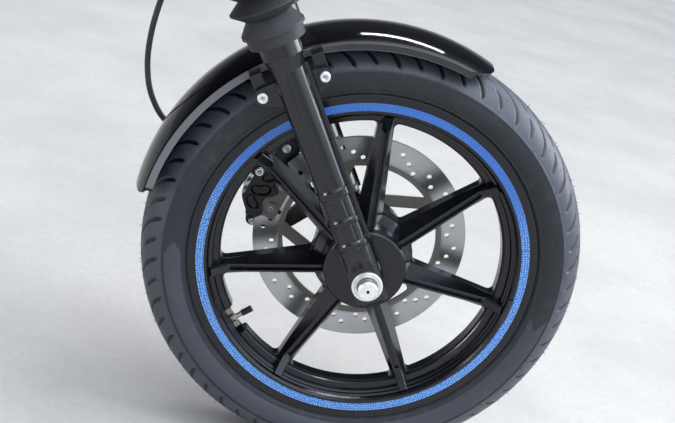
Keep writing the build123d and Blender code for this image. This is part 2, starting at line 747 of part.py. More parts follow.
def guard_trim(turn, length, corner_r):
    """Block over the shell's whole width that ends it at a turn, with two rounded corners."""
    block = Pos(0, 0, length / 2) * Box(4 * guard_r, 2 * guard_half_w + 1, abs(length))
    corners = block.edges().filter_by(Axis.X).filter_by(lambda e: abs(e.center().Z) < 1)
    return Rot(0, -turn, 0) * fillet(corners, corner_r)


def make_mudguard():
    """Crown arc swung about its own centre, with a side flange turned down along each crease."""
    cx, cz = guard_centre
    drop = guard_arch_r - math.sqrt(guard_arch_r ** 2 - guard_crease_y ** 2)
    edge_r = guard_r - drop
    low_r = edge_r - guard_flange_h
    in_y = guard_half_w - guard_t
    bend_r = edge_r - guard_t
    outer = ThreePointArc((edge_r, -guard_crease_y), (guard_r, 0), (edge_r, guard_crease_y))
    inner = ThreePointArc((bend_r, guard_crease_y - guard_t), (guard_r - guard_t, 0),
                          (bend_r, guard_t - guard_crease_y))
    flanges = []
    for side in (1, -1):
        points = [(edge_r, guard_crease_y), (edge_r - guard_t, guard_half_w),
                  (low_r, guard_half_w), (low_r, in_y), (bend_r - guard_t, in_y),
                  (bend_r, guard_crease_y - guard_t)]
        flanges.append(Polyline(*[(r, side * y) for r, y in points]).edges())
    outline = Wire([*outer.edges(), *flanges[0], *inner.edges(), *flanges[1]])
    shell = Rot(0, -guard_end, 0) * revolve(make_face(outline), Axis.Y, guard_end - guard_start)
    nose = guard_trim(guard_start, 3 * guard_r, guard_nose_round)
    tail = guard_trim(guard_end, -3 * guard_r, guard_tail_round)
    return Pos(cx, 0, cz) * one(shell & nose & tail)


def make_guard_stay(side):
    """Plate behind the two lugs, with tabs that bend in and lie flat on the mudguard's flange."""
    outer_y = guard_lug_y - bolt_gap
    plate = slab_y(hull_of([(x, guard_bolt_z, stay_r) for x in guard_bolt_x]),
                   side * (outer_y - stay_t), side * outer_y)
    upright = Rectangle(stay_w, stay_top_z - guard_bolt_z)
    for x in guard_bolt_x:
        place = Pos(x, (stay_top_z + guard_bolt_z) / 2)
        plate += slab_y(place * upright, side * (outer_y - stay_t), side * outer_y)
        tab = Pos(x, stay_top_z - stay_t / 2) * Rectangle(stay_w, stay_t)
        plate += slab_y(tab, side * guard_half_w, side * outer_y)
        pad = Pos(x, stay_top_z) * Rectangle(stay_w, stay_pad_h)
        plate += slab_y(pad, side * guard_half_w, side * (guard_half_w + stay_t))
        plate -= rod_y(guard_bolt_r + bolt_gap, -leg_y, leg_y, x, guard_bolt_z)
    return one(plate)


def make_guard_bolts():
    bolts = []
    for side in (-1, 1):
        for x in guard_bolt_x:
            y0 = side * (guard_lug_y - guard_lug_t)
            y1 = side * (guard_lug_y + guard_lug_t)
            head = rod_y(guard_bolt_head_r, y1, y1 + side * guard_bolt_head_t, x, guard_bolt_z)
            shank = rod_y(guard_bolt_r, y0, y1 + side, x, guard_bolt_z)
            bolts.append((head + shank).solid())
    return Compound(bolts)


# Brake caliper

def at_caliper(shape):
    """Places a shape drawn with x out from the disc's edge and z back along it."""
    return Rot(0, -caliper_angle, 0) * Pos(disc_r, 0, 0) * shape


def bolt_rounds():
    """The two lug bolts seen in the caliper's frame, as (out, along) points."""
    turn = math.radians(caliper_angle)
    x = caliper_bolt_x
    return [(x * math.cos(turn) + z * math.sin(turn) - disc_r,
             z * math.cos(turn) - x * math.sin(turn))
            for z in caliper_bolt_z]


def cylinder_rounds():
    return piston_rounds + caliper_spine[1:3]


def caliper_block(r0, r1, y0, y1, half_len):
    return Pos((r0 + r1) / 2, (y0 + y1) / 2, 0) * Box(r1 - r0, abs(y1 - y0), 2 * half_len)


def make_caliper_body():
    """Finger plate on the wheel's side, bridge over the disc's edge and two cylinders outside."""
    pad_in = disc_mid_y - pad_back
    pad_out = disc_mid_y + pad_back
    spine = slab_y(hull_of(caliper_spine), caliper_in_y, pad_out + caliper_edge)
    spine = chamfer(spine.faces().sort_by(Axis.Y)[0].edges(), caliper_edge)
    spine -= caliper_block(disc_inner_r - 30 - disc_r, caliper_bridge, pad_in, pad_out + 30,
                           disc_r)
    outside = slab_y(hull_of(cylinder_rounds()), pad_out, caliper_out_y)
    outside = chamfer(outside.faces().sort_by(Axis.Y)[-1].edges(), caliper_edge)
    ear = hull_of([(*short_slider, slider_lug_r), caliper_spine[2], piston_rounds[1]])
    body = spine + outside + slab_y(ear, caliper_lug_y, caliper_lug_y + caliper_ear_t)
    for out, along, length, turn in caliper_pockets:
        pocket = Pos(out, along) * Rot(0, 0, turn) * SlotOverall(length, 2 * pocket_r)
        body -= slab_y(pocket, caliper_in_y - 1, caliper_in_y + pocket_depth)
    for place in (short_slider, long_slider):
        body -= rod_y(slider_r + slider_gap, caliper_in_y - 1, caliper_out_y + 1, *place)
    return at_caliper(one(body))


def make_sliders():
    """Two guide pins: a short one outside the disc's edge, and a long one through the bridge."""
    short = rod_y(slider_r, boss_y - 1, caliper_lug_y + caliper_ear_t, *short_slider)
    long = rod_y(slider_r, caliper_in_y - 1, caliper_lug_y, *long_slider)
    long += rod_y(slider_head_r, caliper_in_y - slider_head_t, caliper_in_y, *long_slider)
    return at_caliper(Compound([short, long.solid()]))


def make_pads():
    """Lining on a steel plate each side, with two drilled ears that show under the finger."""
    pads = []
    for side in (-1, 1):
        face_y = disc_mid_y + side * (disc_t / 2 + pad_gap)
        back_y = disc_mid_y + side * pad_back
        plate_y = back_y - side * pad_plate_t
        pad = caliper_block(disc_inner_r + 4 - disc_r, 0, face_y, plate_y, pad_half_len)
        pad += caliper_block(pad_ears[0][0] + 5, 2, plate_y, back_y, pad_half_len)
        for place in pad_ears:
            pad += rod_y(pad_ear_r, plate_y, back_y, *place)
        for place in pad_ears:
            pad -= rod_y(pad_pin_r, back_y, back_y - side * 2, *place)
        pads.append(at_caliper(pad).solid())
    return Compound(pads)


def make_caliper_bracket():
    """Plate bolted to the leg's two lugs that carries both guide pins round the cylinders."""
    y1 = caliper_lug_y - bolt_gap / 2
    y0 = y1 - bracket_t
    near, far = bolt_rounds()
    strips = [[(*near, caliper_lug_r), (*far, caliper_lug_r)],
              [(*far, caliper_lug_r), (*long_slider, slider_lug_r)],
              [(*near, caliper_lug_r), bracket_elbow],
              [bracket_elbow, (*short_slider, slider_lug_r)]]
    adds = [slab_y(hull_of(strip), y0, y1) for strip in strips]
    adds.append(rod_y(slider_lug_r, boss_y, y1, *short_slider))
    grown = [(out, along, radius + block_gap) for out, along, radius in cylinder_rounds()]
    cuts = [slab_y(hull_of(grown), boss_y - 1, y1 + 1)]
    for place in (near, far):
        adds.append(rod_y(boss_r, boss_y, y1, *place))
        cuts.append(rod_y(caliper_bolt_r + bolt_gap, boss_y - 1, y1 + 1, *place))
        cuts.append(rod_y(caliper_bolt_head_r + bolt_gap, boss_y - 1,
                          boss_y + caliper_bolt_head_t, *place))
    for place in (short_slider, long_slider):
        cuts.append(rod_y(slider_r + slider_gap, boss_y - 1, y1 + 1, *place))
    return at_caliper(one(adds[0].fuse(*adds[1:]).cut(*cuts)))


def make_caliper_bolts():
    """Socket bolts sunk in the bracket's bosses from the wheel's side."""
    bolts = []
    head_y = boss_y + caliper_bolt_head_t
    for z in caliper_bolt_z:
        bolt = rod_y(caliper_bolt_r, head_y - 1, caliper_lug_y + caliper_lug_t,
                     caliper_bolt_x, z)
        bolt += rod_y(caliper_bolt_head_r, boss_y + 0.5, head_y, caliper_bolt_x, z)
        bolts.append(bolt.solid())
    return Compound(bolts)


# Brake hose, points upright about the axle, from the caliper to the block on the yoke
hose_points = [
    (-152.0, 98.0, 61.0), (-185.0, 98.0, 67.0), (-225.0, 95.0, 74.0), (-266.0, 91.0, 82.0),
    (-300.0, 86.0, 103.0), (-322.0, 82.0, 138.0), (-332.0, 78.0, 180.0), (-333.0, 74.0, 224.0),
    (-328.0, 68.0, 268.0), (-317.0, 60.0, 311.0), (-302.0, 53.0, 352.0), (-290.0, 50.0, 388.0),
]


def make_hose():
    points = [Vector(*p) for p in hose_points]
    radii = []
    for a, b, c in zip(points, points[1:], points[2:]):
        turn = math.radians((b - a).get_angle(c - b))
        radii.append(0.45 * min((b - a).length, (c - b).length) / math.tan(turn / 2))
    print("hose radii", [round(r) for r in radii])
    path = FilletPolyline(*points, radius=radii)
    section = Plane(origin=points[0], z_dir=points[1] - points[0]) * Circle(hose_r)
    tube = sweep(section, path=path)
    print("hose length", round(path.length, 1), "volume share",
          round(tube.volume / (math.pi * hose_r ** 2 * path.length), 4))
    return tube


def crimp_on(end, along):
    """Sleeve pressed on the hose's end, running on from it."""
    return Plane(origin=end, z_dir=along) * Pos(0, 0, crimp_len / 2) * Cylinder(
        crimp_r, crimp_len)


def make_banjo():
    """Eye and bolt on the caliper's outer face, with the crimp that holds the hose."""
    start, after = Vector(*hose_points[0]), Vector(*hose_points[1])
    along = (after - start).normalized()
    eye = start - along * banjo_reach
    body = rod_y(banjo_r, caliper_out_y + 0.1, start.Y + hose_r, eye.X, eye.Z)
    body += rod_y(banjo_bolt_r, caliper_out_y + 1, start.Y + 2 * hose_r, eye.X, eye.Z)
    return body + crimp_on(start - along * crimp_len, along)


def make_hose_block():
    """Junction block bolted under the lower yoke, where the hose ends."""
    end, before = Vector(*hose_points[-1]), Vector(*hose_points[-2])
    along = (end - before).normalized()
    block = Pos(block_x, end.Y, lower_yoke_z - seat_gap - block_size[2] / 2) * Box(*block_size)
    return Rot(0, -rake, 0) * block + crimp_on(end, along)


def write(name, shape):
    export_step(one(shape), os.path.join("parts", name + ".step"))


os.makedirs("parts", exist_ok=True)

write("tyre", on_wheel(make_tyre()))
write("wheel_casting", on_wheel(make_wheel_casting()))
write("wheel_bearing_right", on_wheel(make_bearing(hub_right_y)))
write("wheel_bearing_left", on_wheel(make_bearing(hub_left_y - bearing_w)))
write("brake_disc", on_wheel(make_disc_ring()))
write("disc_carrier", on_wheel(make_carrier()))
write("disc_bolts", on_wheel(make_disc_bolts()))
write("rim_tape_right", on_wheel(make_tape(-1)))
write("rim_tape_left", on_wheel(make_tape(1)))
write("valve_stem", on_wheel(make_valve()))
write("balance_weight", on_wheel(make_balance_weight()))

write("axle", on_leg(make_axle()))
write("axle_nut", on_leg(make_axle_nut()))
write("axle_spacer_right", on_leg(make_spacer(-lug_inner_y, hub_right_y - seat_gap)))
write("axle_spacer_left", on_leg(make_spacer(hub_left_y + seat_gap, lug_inner_y)))
for name, side in (("right", -1), ("left", 1)):
    write("fork_lower_" + name, on_leg(make_fork_lower(side)))
    write("stanchion_" + name, on_leg(make_stanchion(side)))
    write("gaiter_" + name, on_leg(make_gaiter(side)))
    write("fork_cap_" + name, on_leg(make_fork_cap(side)))
    write("mudguard_stay_" + name, on_leg(make_guard_stay(side)))
write("lower_yoke", on_leg(make_lower_yoke()))
write("upper_yoke", on_leg(make_upper_yoke()))
write("steering_stem", on_leg(make_stem()))
write("stem_nut", on_leg(make_stem_nut()))
write("mudguard", on_wheel(make_mudguard()))
write("mudguard_bolts", on_leg(make_guard_bolts()))
write("caliper_body", on_leg(make_caliper_body()))
write("brake_pads", on_leg(make_pads()))
write("caliper_bracket", on_leg(make_caliper_bracket()))
write("caliper_bolts", on_leg(make_caliper_bolts()))
write("caliper_sliders", on_leg(make_sliders()))
write("brake_hose", on_wheel(make_hose()))
write("hose_banjo", on_wheel(make_banjo()))
write("hose_block", on_wheel(make_hose_block()))
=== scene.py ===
import json
import math
import random

import bpy
from mathutils import Euler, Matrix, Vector


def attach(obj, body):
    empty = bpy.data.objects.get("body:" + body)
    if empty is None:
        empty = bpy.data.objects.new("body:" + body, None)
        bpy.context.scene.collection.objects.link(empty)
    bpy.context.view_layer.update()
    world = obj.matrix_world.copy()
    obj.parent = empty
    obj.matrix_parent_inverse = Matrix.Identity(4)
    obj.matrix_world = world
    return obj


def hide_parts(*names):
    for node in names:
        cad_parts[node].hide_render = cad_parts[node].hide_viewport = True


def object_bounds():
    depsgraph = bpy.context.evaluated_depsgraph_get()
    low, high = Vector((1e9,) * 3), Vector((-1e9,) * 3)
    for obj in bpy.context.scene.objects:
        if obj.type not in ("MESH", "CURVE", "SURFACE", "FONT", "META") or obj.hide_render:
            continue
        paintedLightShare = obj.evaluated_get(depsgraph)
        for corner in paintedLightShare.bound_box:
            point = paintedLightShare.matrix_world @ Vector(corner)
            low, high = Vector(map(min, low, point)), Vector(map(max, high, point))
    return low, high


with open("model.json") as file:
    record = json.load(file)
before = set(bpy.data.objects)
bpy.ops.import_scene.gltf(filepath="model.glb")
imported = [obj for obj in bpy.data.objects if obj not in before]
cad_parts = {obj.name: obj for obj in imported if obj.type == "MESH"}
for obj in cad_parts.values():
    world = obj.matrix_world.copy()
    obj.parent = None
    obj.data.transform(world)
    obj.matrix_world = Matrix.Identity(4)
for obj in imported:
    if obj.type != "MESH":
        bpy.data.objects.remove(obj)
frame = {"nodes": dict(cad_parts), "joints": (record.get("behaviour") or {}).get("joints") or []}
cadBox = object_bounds()
nodes = frame["nodes"]
axle = Vector(frame["joints"][0]["pos_m"])
mm = 0.001
rake = math.radians(32)  # slope of the fork's legs
caliperTurn = math.radians(133)  # where the caliper sits round the axle, from the legs' own x
print("frame loaded:", len(nodes), "pieces")

# Where the camera stands from the axle, in metres, how it is turned, in degrees, and its lens
# and sensor in millimetres
camera = {"stand": (-0.2623, -1.6102, 0.6504), "turn": (69.193, -13.187, -2.710),
          "lens": 69.33, "sensor": 36, "far": 50}


def setCamera():
    lens = bpy.data.cameras.new("camera")
    lens.sensor_width = camera["sensor"]
    lens.lens = camera["lens"]
    lens.clip_end = camera["far"]
    stand = bpy.data.objects.new("camera", lens)
    stand.location = axle + Vector(camera["stand"])
    stand.rotation_euler = Euler([math.radians(a) for a in camera["turn"]])
    bpy.context.scene.collection.objects.link(stand)
    bpy.context.scene.camera = stand


# Places in millimetres from the axle: upright, along the sloping leg, and on the caliper's own
# directions, which are out from the axle, back along the disc, and y
def onWheel(x, y, z):
    return axle + Vector((x, y, z)) * mm


def onLeg(x, y, z):
    return axle + Vector((x * math.cos(rake) - z * math.sin(rake), y,
                          x * math.sin(rake) + z * math.cos(rake))) * mm


def onCaliper(out, along, y):
    return onLeg(out * math.cos(caliperTurn) - along * math.sin(caliperTurn), y,
                 out * math.sin(caliperTurn) + along * math.cos(caliperTurn))


# Shader maths. Edges catch the light within reach, in metres, where the normal turns enough
edgeMask = {"reach": 0.0011, "samples": 6, "turned": (0.004, 0.11)}


class Value:
    # one output socket, so that an expression on it adds the Math nodes
    def __init__(self, board, socket):
        self.board = board
        self.socket = socket

    def maths(self, operation, *terms):
        return self.board.node("Math", {"operation": operation}, dict(enumerate(terms)))

    def __add__(self, other):
        return self.maths("ADD", self, other)

    def __sub__(self, other):
        return self.maths("SUBTRACT", self, other)

    def __rsub__(self, other):
        return self.maths("SUBTRACT", other, self)

    def __mul__(self, other):
        return self.maths("MULTIPLY", self, other)

    def __truediv__(self, other):
        return self.maths("DIVIDE", self, other)

    def __gt__(self, other):
        return self.maths("GREATER_THAN", self, other)

    __radd__ = __add__
    __rmul__ = __mul__

    def sine(self):
        return self.maths("SINE", self)

    def size(self):
        return self.maths("ABSOLUTE", self)

    def root(self):
        return self.maths("POWER", self, 0.5)

    def ramp(self, low, high):
        # 0 below low, 1 above high and smooth between them
        settings = {"interpolation_type": "SMOOTHSTEP"}
        return self.board.node("MapRange", settings, {"Value": self, 1: low, 2: high})

    def band(self, low, high, soft):
        # 1 between low and high and 0 outside, over edges as wide as twice soft
        return self.ramp(low - soft, low + soft) * (1 - self.ramp(high - soft, high + soft))


class Board:
    # the nodes of one material, or of the world
    def __init__(self, tree):
        self.tree = tree

    def node(self, kind, settings=None, inputs=None, out=0):
        made = self.tree.nodes.new("ShaderNode" + kind)
        for name, setting in (settings or {}).items():
            if name == "stops":
                while len(made.color_ramp.elements) < len(setting):
                    made.color_ramp.elements.new(1)
                for element, (place, colour) in zip(made.color_ramp.elements, setting):
                    element.position = place
                    element.color = (*colour, 1)
            else:
                setattr(made, name, setting)
        for key, given in (inputs or {}).items():
            if isinstance(given, Value):
                self.tree.links.new(given.socket, made.inputs[key])
            else:
                made.inputs[key].default_value = given
        return Value(self, made.outputs[out])

    def mix(self, share, first, second):
        first, second = [c if isinstance(c, Value) else (*c, 1) for c in (first, second)]
        return self.node("Mix", {"data_type": "RGBA"}, {0: share, 6: first, 7: second}, out=2)

    def vector(self, *parts):
        return self.node("CombineXYZ", {}, dict(enumerate(parts)))

    def dot(self, first, second):
        settings = {"operation": "DOT_PRODUCT"}
        return self.node("VectorMath", settings, {0: first, 1: second}, out=1)

    def place(self):
        return self.node("TexCoord", out=3)

    def millimetres(self, vector):
        return [self.node("SeparateXYZ", {}, {0: vector}, out=k) * 1000 for k in range(3)]

    def aboutAxle(self):
        # radius, the turn up from forward in degrees, and y
        offset = self.node("VectorMath", {"operation": "SUBTRACT"},
                           {0: self.place(), 1: tuple(axle)})
        x, y, z = self.millimetres(offset)
        return (x * x + z * z).root(), z.maths("ARCTAN2", z, x) * math.degrees(1), y

    def noise(self, vector, scale, detail=3.0, rough=0.5):
        inputs = {"Vector": vector, "Scale": scale, "Detail": detail, "Roughness": rough}
        return self.node("TexNoise", {}, inputs)

    def noises(self, look, *names):
        # the noises that a finish's dictionary names
        place = self.place()
        return [self.noise(place, *look[name]) for name in names]

    def edges(self, reach=edgeMask["reach"]):
        # 1 along sharp edges, where a painted highlight goes, and 0 elsewhere
        soft = self.node("Bevel", {"samples": edgeMask["samples"]}, {"Radius": reach})
        facing = self.node("NewGeometry", out=1)
        return (1 - self.dot(soft, facing)).ramp(*edgeMask["turned"])

    def bump(self, height, distance, strength=1.0, normal=None):
        inputs = {"Height": height, "Distance": distance, "Strength": strength}
        if normal:
            inputs["Normal"] = normal
        return self.node("Bump", {}, inputs)


def newFinish(name, **constants):
    # a material with its shader; the constants stay on the shader's own sockets
    material = bpy.data.materials.new(name)
    material.use_nodes = True
    shader = material.node_tree.nodes["Principled BSDF"]
    for key, given in constants.items():
        shader.inputs[key.replace("_", " ")].default_value = given
    board = Board(material.node_tree)

    def feed(**links):
        for key, given in links.items():
            board.tree.links.new(given.socket, shader.inputs[key.replace("_", " ")])
        return material
    return board, feed


# Sprayed paints. In these dictionaries a noise is (scale, detail, roughness), depths of a bump
# are in metres, and rough is the roughness before anything is added
paints = {
    "cast_black": {"colour": (0.007, 0.0075, 0.009), "rough": 0.3, "peel": 0.00003},
    "fork_black": {"colour": (0.0035, 0.004, 0.0055), "rough": 0.17, "peel": 0.00001},
    "yoke_black": {"colour": (0.010, 0.010, 0.012), "rough": 0.4, "peel": 0.00003},
    "carrier_olive": {"colour": (0.20, 0.195, 0.155), "rough": 0.42, "peel": 0.00003},
}
spray = {"coat": 0.1, "coatRough": 0.08, "broad": (12, 5, 0.62), "smear": (55, 4, 0.7),
         "fine": (1100, 2), "dust": (0.3, 0.29, 0.27), "dustShare": 0.05,
         "edgeHighlight": (0.085, 0.09, 0.10), "smearDepth": 0.00005}


def satinPaint(name):
    # faint orange peel, handling marks in the gloss, dust in patches and a painted highlight
    # along the edges
    paint = paints[name]
    board, feed = newFinish(name, Coat_Weight=spray["coat"], Coat_Roughness=spray["coatRough"])
    broad, smear, fine = board.noises(spray, "broad", "smear", "fine")
    grime = broad.ramp(0.5, 0.78) * smear.ramp(0.35, 0.7)
    tint = board.mix(grime * spray["dustShare"], paint["colour"], spray["dust"])
    # painted highlight: the edges are made lighter
    tint = board.mix(board.edges() * (0.35 + smear * 0.5), tint, spray["edgeHighlight"])
    marks = board.bump(smear, spray["smearDepth"], 0.4)
    return feed(Base_Color=tint, Roughness=paint["rough"] + smear * 0.14 + grime * 0.25,
                Normal=board.bump(fine, paint["peel"], 1, marks))


# Bare and plated metals; tarnish is how much of the metal turns dull. The grains hold the noises,
# where tarnish starts, how dull it is and how much rougher
metals = {
    "bright_zinc": {"colour": (0.66, 0.66, 0.67), "rough": 0.24, "tarnish": 0.45},
    "machined_steel": {"colour": (0.5, 0.5, 0.5), "rough": 0.26, "tarnish": 0.45},
    "hard_chrome": {"colour": (0.8, 0.8, 0.81), "rough": 0.05, "tarnish": 0.1},
    "socket_zinc": {"colour": (0.90, 0.91, 0.92), "rough": 0.34, "tarnish": 0.4},
    "socket_black": {"colour": (0.06, 0.06, 0.065), "rough": 0.4, "tarnish": 0.4},
    "slider_zinc": {"colour": (0.74, 0.75, 0.76), "rough": 0.22, "tarnish": 0.4},
    "pin_steel": {"colour": (0.42, 0.41, 0.38), "rough": 0.34, "tarnish": 0.4},
}
largeGrain = {"broad": (40, 5, 0.65), "fine": (350, 3), "from": 0.35, "dull": 0.45,
              "rough": 0.2, "depth": 0.00004}
boltGrain = {"broad": (130, 4, 0.6), "fine": (900, 3), "from": 0.4, "dull": 0.5,
             "rough": 0.16, "depth": 0.00004}


def rawMetal(name, grain=largeGrain):
    metal = metals[name]
    board, feed = newFinish(name, Metallic=1.0)
    broad, fine = board.noises(grain, "broad", "fine")
    dull = [c * grain["dull"] for c in metal["colour"]]
    tint = board.mix(broad.ramp(grain["from"], 0.75) * metal["tarnish"], metal["colour"], dull)
    return feed(Base_Color=tint, Roughness=metal["rough"] + broad * grain["rough"],
                Normal=board.bump(fine, grain["depth"]))


# Rubber and sintered plate, with pale dust in patches
matts = {
    "gaiter_rubber": {"colour": (0.017, 0.018, 0.021), "rough": 0.5},
    "hair_rubber": {"colour": (0.02, 0.02, 0.02), "rough": 0.62},
    "pad_plate": {"colour": (0.17, 0.16, 0.14), "rough": 0.6},
}
mattDust = {"broad": (20, 5, 0.6), "fine": (700, 3), "colour": (0.14, 0.14, 0.135),
            "share": 0.2, "depth": 0.00008}


def mattRubber(name):
    board, feed = newFinish(name, Specular_IOR_Level=0.45)
    broad, fine = board.noises(mattDust, "broad", "fine")
    dusty = broad.ramp(0.4, 0.8) * mattDust["share"]
    return feed(Base_Color=board.mix(dusty, matts[name]["colour"], mattDust["colour"]),
                Roughness=matts[name]["rough"] + broad * 0.15,
                Normal=board.bump(fine, mattDust["depth"]))


def dressCad(material, *names):
    for name in names:
        mesh = nodes[name].data
        mesh.materials.clear()
        mesh.materials.append(material)


def newPiece(name, points, faces, material, body, *replaced):
    mesh = bpy.data.meshes.new(name)
    mesh.from_pydata([tuple(p) for p in points], [], faces)
    mesh.validate()
    for polygon in mesh.polygons:
        polygon.use_smooth = True
    mesh.materials.append(material)
    piece = bpy.data.objects.new(name, mesh)
    bpy.context.scene.collection.objects.link(piece)
    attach(piece, body)
    if replaced:
        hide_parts(*replaced)


def latheFaces(rows, columns):
    # faces of a closed grid whose rows run round an axis and whose columns follow an outline
    faces = []
    for i in range(rows):
        nextRow = (i + 1) % rows
        for j in range(columns - 1):
            faces.append((i * columns + j, i * columns + j + 1, nextRow * columns + j + 1,
                          nextRow * columns + j))
    return faces


def addGrid(points, faces, rows):
    # joins the rows into one closed skin
    first = len(points)
    for row in rows:
        points.extend(row)
    for face in latheFaces(len(rows), len(rows[0])):
        faces.append(tuple(first + index for index in face))


def smooth(low, high, value):
    share = min(1, max(0, (value - low) / (high - low)))
    return share * share * (3 - 2 * share)


# Tyre: lathed mesh whose rows bend along the tread's grooves. Radii, y and depths are in
# millimetres, turns in degrees, half widths of a groove too, and the rest are shares
tyre = {"pitches": 30, "sweep": 14, "sweepCurve": 1.7, "grooveDepth": 4.6, "sipeDepth": 3.6,
        "edgeHalf": 0.74, "floorHalf": 0.5, "shutWidth": 0.25,
        "plainRows": (0.18, 0.34, 0.5, 0.66, 0.82),
        "crownRadius": 50, "crownMiddle": 246, "treadHalf": 45.7, "crownSteps": 22,
        "wallFoot": 239.4, "wallTop": 266.0, "wallY": 42.4, "wallBulge": 6.3,
        "bulgeFrom": 0.18, "bulgeSpan": 0.60, "wallEase": 3.424, "wallSteps": 12,
        "shoulder": (265.6, -46.9)}
beadOutline = [(219.5, -31.7), (231.0, -31.7), (233.2, -32.6), (233.6, -36.6), (235.0, -38.6),
               (236.4, -40.9), (237.4, -41.2), (238.4, -41.0), (239.4, -42.4)]  # radius, y
# where a groove opens, is full, starts to close and ends, from the tread's middle (0) to its
# edge (1): long grooves on one side stand across from pairs of short ones on the other
longGroove = [(0.08, 0.2, 0.84, 0.97)]
shortGrooves = [(0.2, 0.25, 0.38, 0.44), (0.56, 0.61, 0.84, 0.92)]


def tyreOutline():
    # (radius, y, share across the tread or None) from the right bead to the left
    side = list(beadOutline)
    for k in range(1, tyre["wallSteps"]):
        share = k / tyre["wallSteps"]
        radius = tyre["wallFoot"] + (tyre["wallTop"] - tyre["wallFoot"]) * share
        bend = math.sin(math.pi * (tyre["bulgeFrom"] + tyre["bulgeSpan"] * share))
        bulge = tyre["wallBulge"] * bend
        side.append((radius, -tyre["wallY"] - bulge + tyre["wallEase"] * (1 - share)))
    side.append(tyre["shoulder"])
    outline = [(r, y, None) for r, y in side]
    edge = math.asin(tyre["treadHalf"] / tyre["crownRadius"])
    for k in range(2 * tyre["crownSteps"] + 1):
        turn = edge * (k / tyre["crownSteps"] - 1)
        y = tyre["crownRadius"] * math.sin(turn)
        outline.append((tyre["crownMiddle"] + tyre["crownRadius"] * math.cos(turn), y,
                        abs(y) / tyre["treadHalf"]))
    return outline + [(r, -y, None) for r, y in reversed(side)]


def tyrePoint(groove, kind, offset, radius, y, across):
    # the rows sweep back from the tread's middle, and the floor rows drop into the grooves
    shift, width, inward = tyre["sweep"], tyre["shutWidth"], 1
    if across is not None:
        isLong = (y < 0) == (groove % 2 == 0)
        cut = max(smooth(opens, full, across) * (1 - smooth(closes, ends, across))
                  for opens, full, closes, ends in (longGroove if isLong else shortGrooves))
        shift = tyre["sweep"] * (1 - (1 - across) ** tyre["sweepCurve"])
        width = tyre["shutWidth"] + (1 - tyre["shutWidth"]) * cut
        if kind == "floor":
            drop = cut * tyre["grooveDepth" if isLong else "sipeDepth"]
            inward = (radius - drop) / radius
    turn = offset if kind == "plain" else offset * tyre[kind + "Half"] * width
    turn = math.radians(groove * 180 / tyre["pitches"] + turn - shift)
    return onWheel(radius * inward * math.cos(turn), y * inward,
                   radius * inward * math.sin(turn))


def makeTyre():
    outline = tyreOutline()
    lines = [("edge", -1), ("floor", -1), ("floor", 1), ("edge", 1)]
    lines += [("plain", 180 / tyre["pitches"] * share) for share in tyre["plainRows"]]
    grooves = 2 * tyre["pitches"]
    points = [tyrePoint(groove, kind, offset, *spot)
              for groove in range(grooves) for kind, offset in lines for spot in outline]
    newPiece("tyre_rubber", points, latheFaces(grooves * len(lines), len(outline)),
             tyreFinish(), "wheel", "tyre")


# Tyre's finish: bands are (from, to, soft edge)
tyreLook = {"tread": (0.052, 0.059, 0.075), "wall": (0.013, 0.015, 0.019),
            "panel": (0.038, 0.043, 0.055), "groove": (0.006, 0.006, 0.007),
            "scuff": (0.085, 0.09, 0.1), "dust": (0.2, 0.2, 0.195),
            "treadFrom": (265.2, 266.6), "grooveFrom": (48.2, 49.7),
            "panelRadii": (240, 262.5, 0.35), "panelTurns": (-172.1, -6.3, 0.3),
            "arrow": 4.2, "arrowRadius": 251, "arrowReach": 11,
            "ringRadii": (241, 261, 0.5), "ringTurns": (-3, 78, 2), "ringPitch": 3.6,
            "seamTurns": (173.3, 173.5, 0.12), "seamRadii": (236, 264, 0.5),
            "broad": (9, 4, 0.6), "blot": (48, 5, 0.65), "grain": (1300, 3),
            "rough": 0.56, "grainDepth": 0.00006, "mouldDepth": 0.0006}


def tyreFinish():
    look = tyreLook
    board, feed = newFinish("tyre_rubber", Specular_IOR_Level=0.5)
    radius, turn, y = board.aboutAxle()
    broad, blot, grain = board.noises(look, "broad", "blot", "grain")
    tread = radius.ramp(*look["treadFrom"])
    ring = radius - tyre["crownMiddle"]
    groove = tread * (1 - (ring * ring + y * y).root().ramp(*look["grooveFrom"]))
    # paler smooth panel round the lower sidewall, with an arrow-shaped end both ways
    arrow = look["arrow"] * (1 - (radius - look["arrowRadius"]).size() / look["arrowReach"])
    panel = radius.band(*look["panelRadii"]) * (turn + arrow).band(*look["panelTurns"])
    # fine rings in the upper sidewall, and a seam across it
    rings = (radius * look["ringPitch"]).sine() * radius.band(*look["ringRadii"])
    rings = rings * turn.band(*look["ringTurns"])
    seam = turn.band(*look["seamTurns"]) * radius.band(*look["seamRadii"])
    tint = board.mix(tread, board.mix(panel, look["wall"], look["panel"]), look["tread"])
    tint = board.mix(blot.ramp(0.5, 0.8) * 0.35, tint, look["scuff"])
    tint = board.mix(broad.ramp(0.55, 0.75) * 0.14, tint, look["dust"])
    # painted shade: the groove floors are darkened
    tint = board.mix(groove, tint, look["groove"])
    rough = look["rough"] - panel * 0.1 - tread * 0.17 + blot * 0.14
    moulded = board.bump(rings * 0.35 + panel * 0.6 - seam * 0.8, look["mouldDepth"])
    return feed(Base_Color=tint, Roughness=rough,
                Normal=board.bump(grain, look["grainDepth"], 1, moulded))


# Moulding hairs: thin three-sided cones that stand off the tread and the shoulder
hairs = {"count": 420, "length": 6.5, "shortest": 0.5, "thick": 0.42, "root": 49.7,
         "jitter": 0.3, "bend": 0.6, "rows": (-0.9, -0.62, -0.3, 0.0, 0.3, 0.62, 0.9),
         "bare": 7, "askew": (0.3, 0.5, 0.8), "seed": 11}


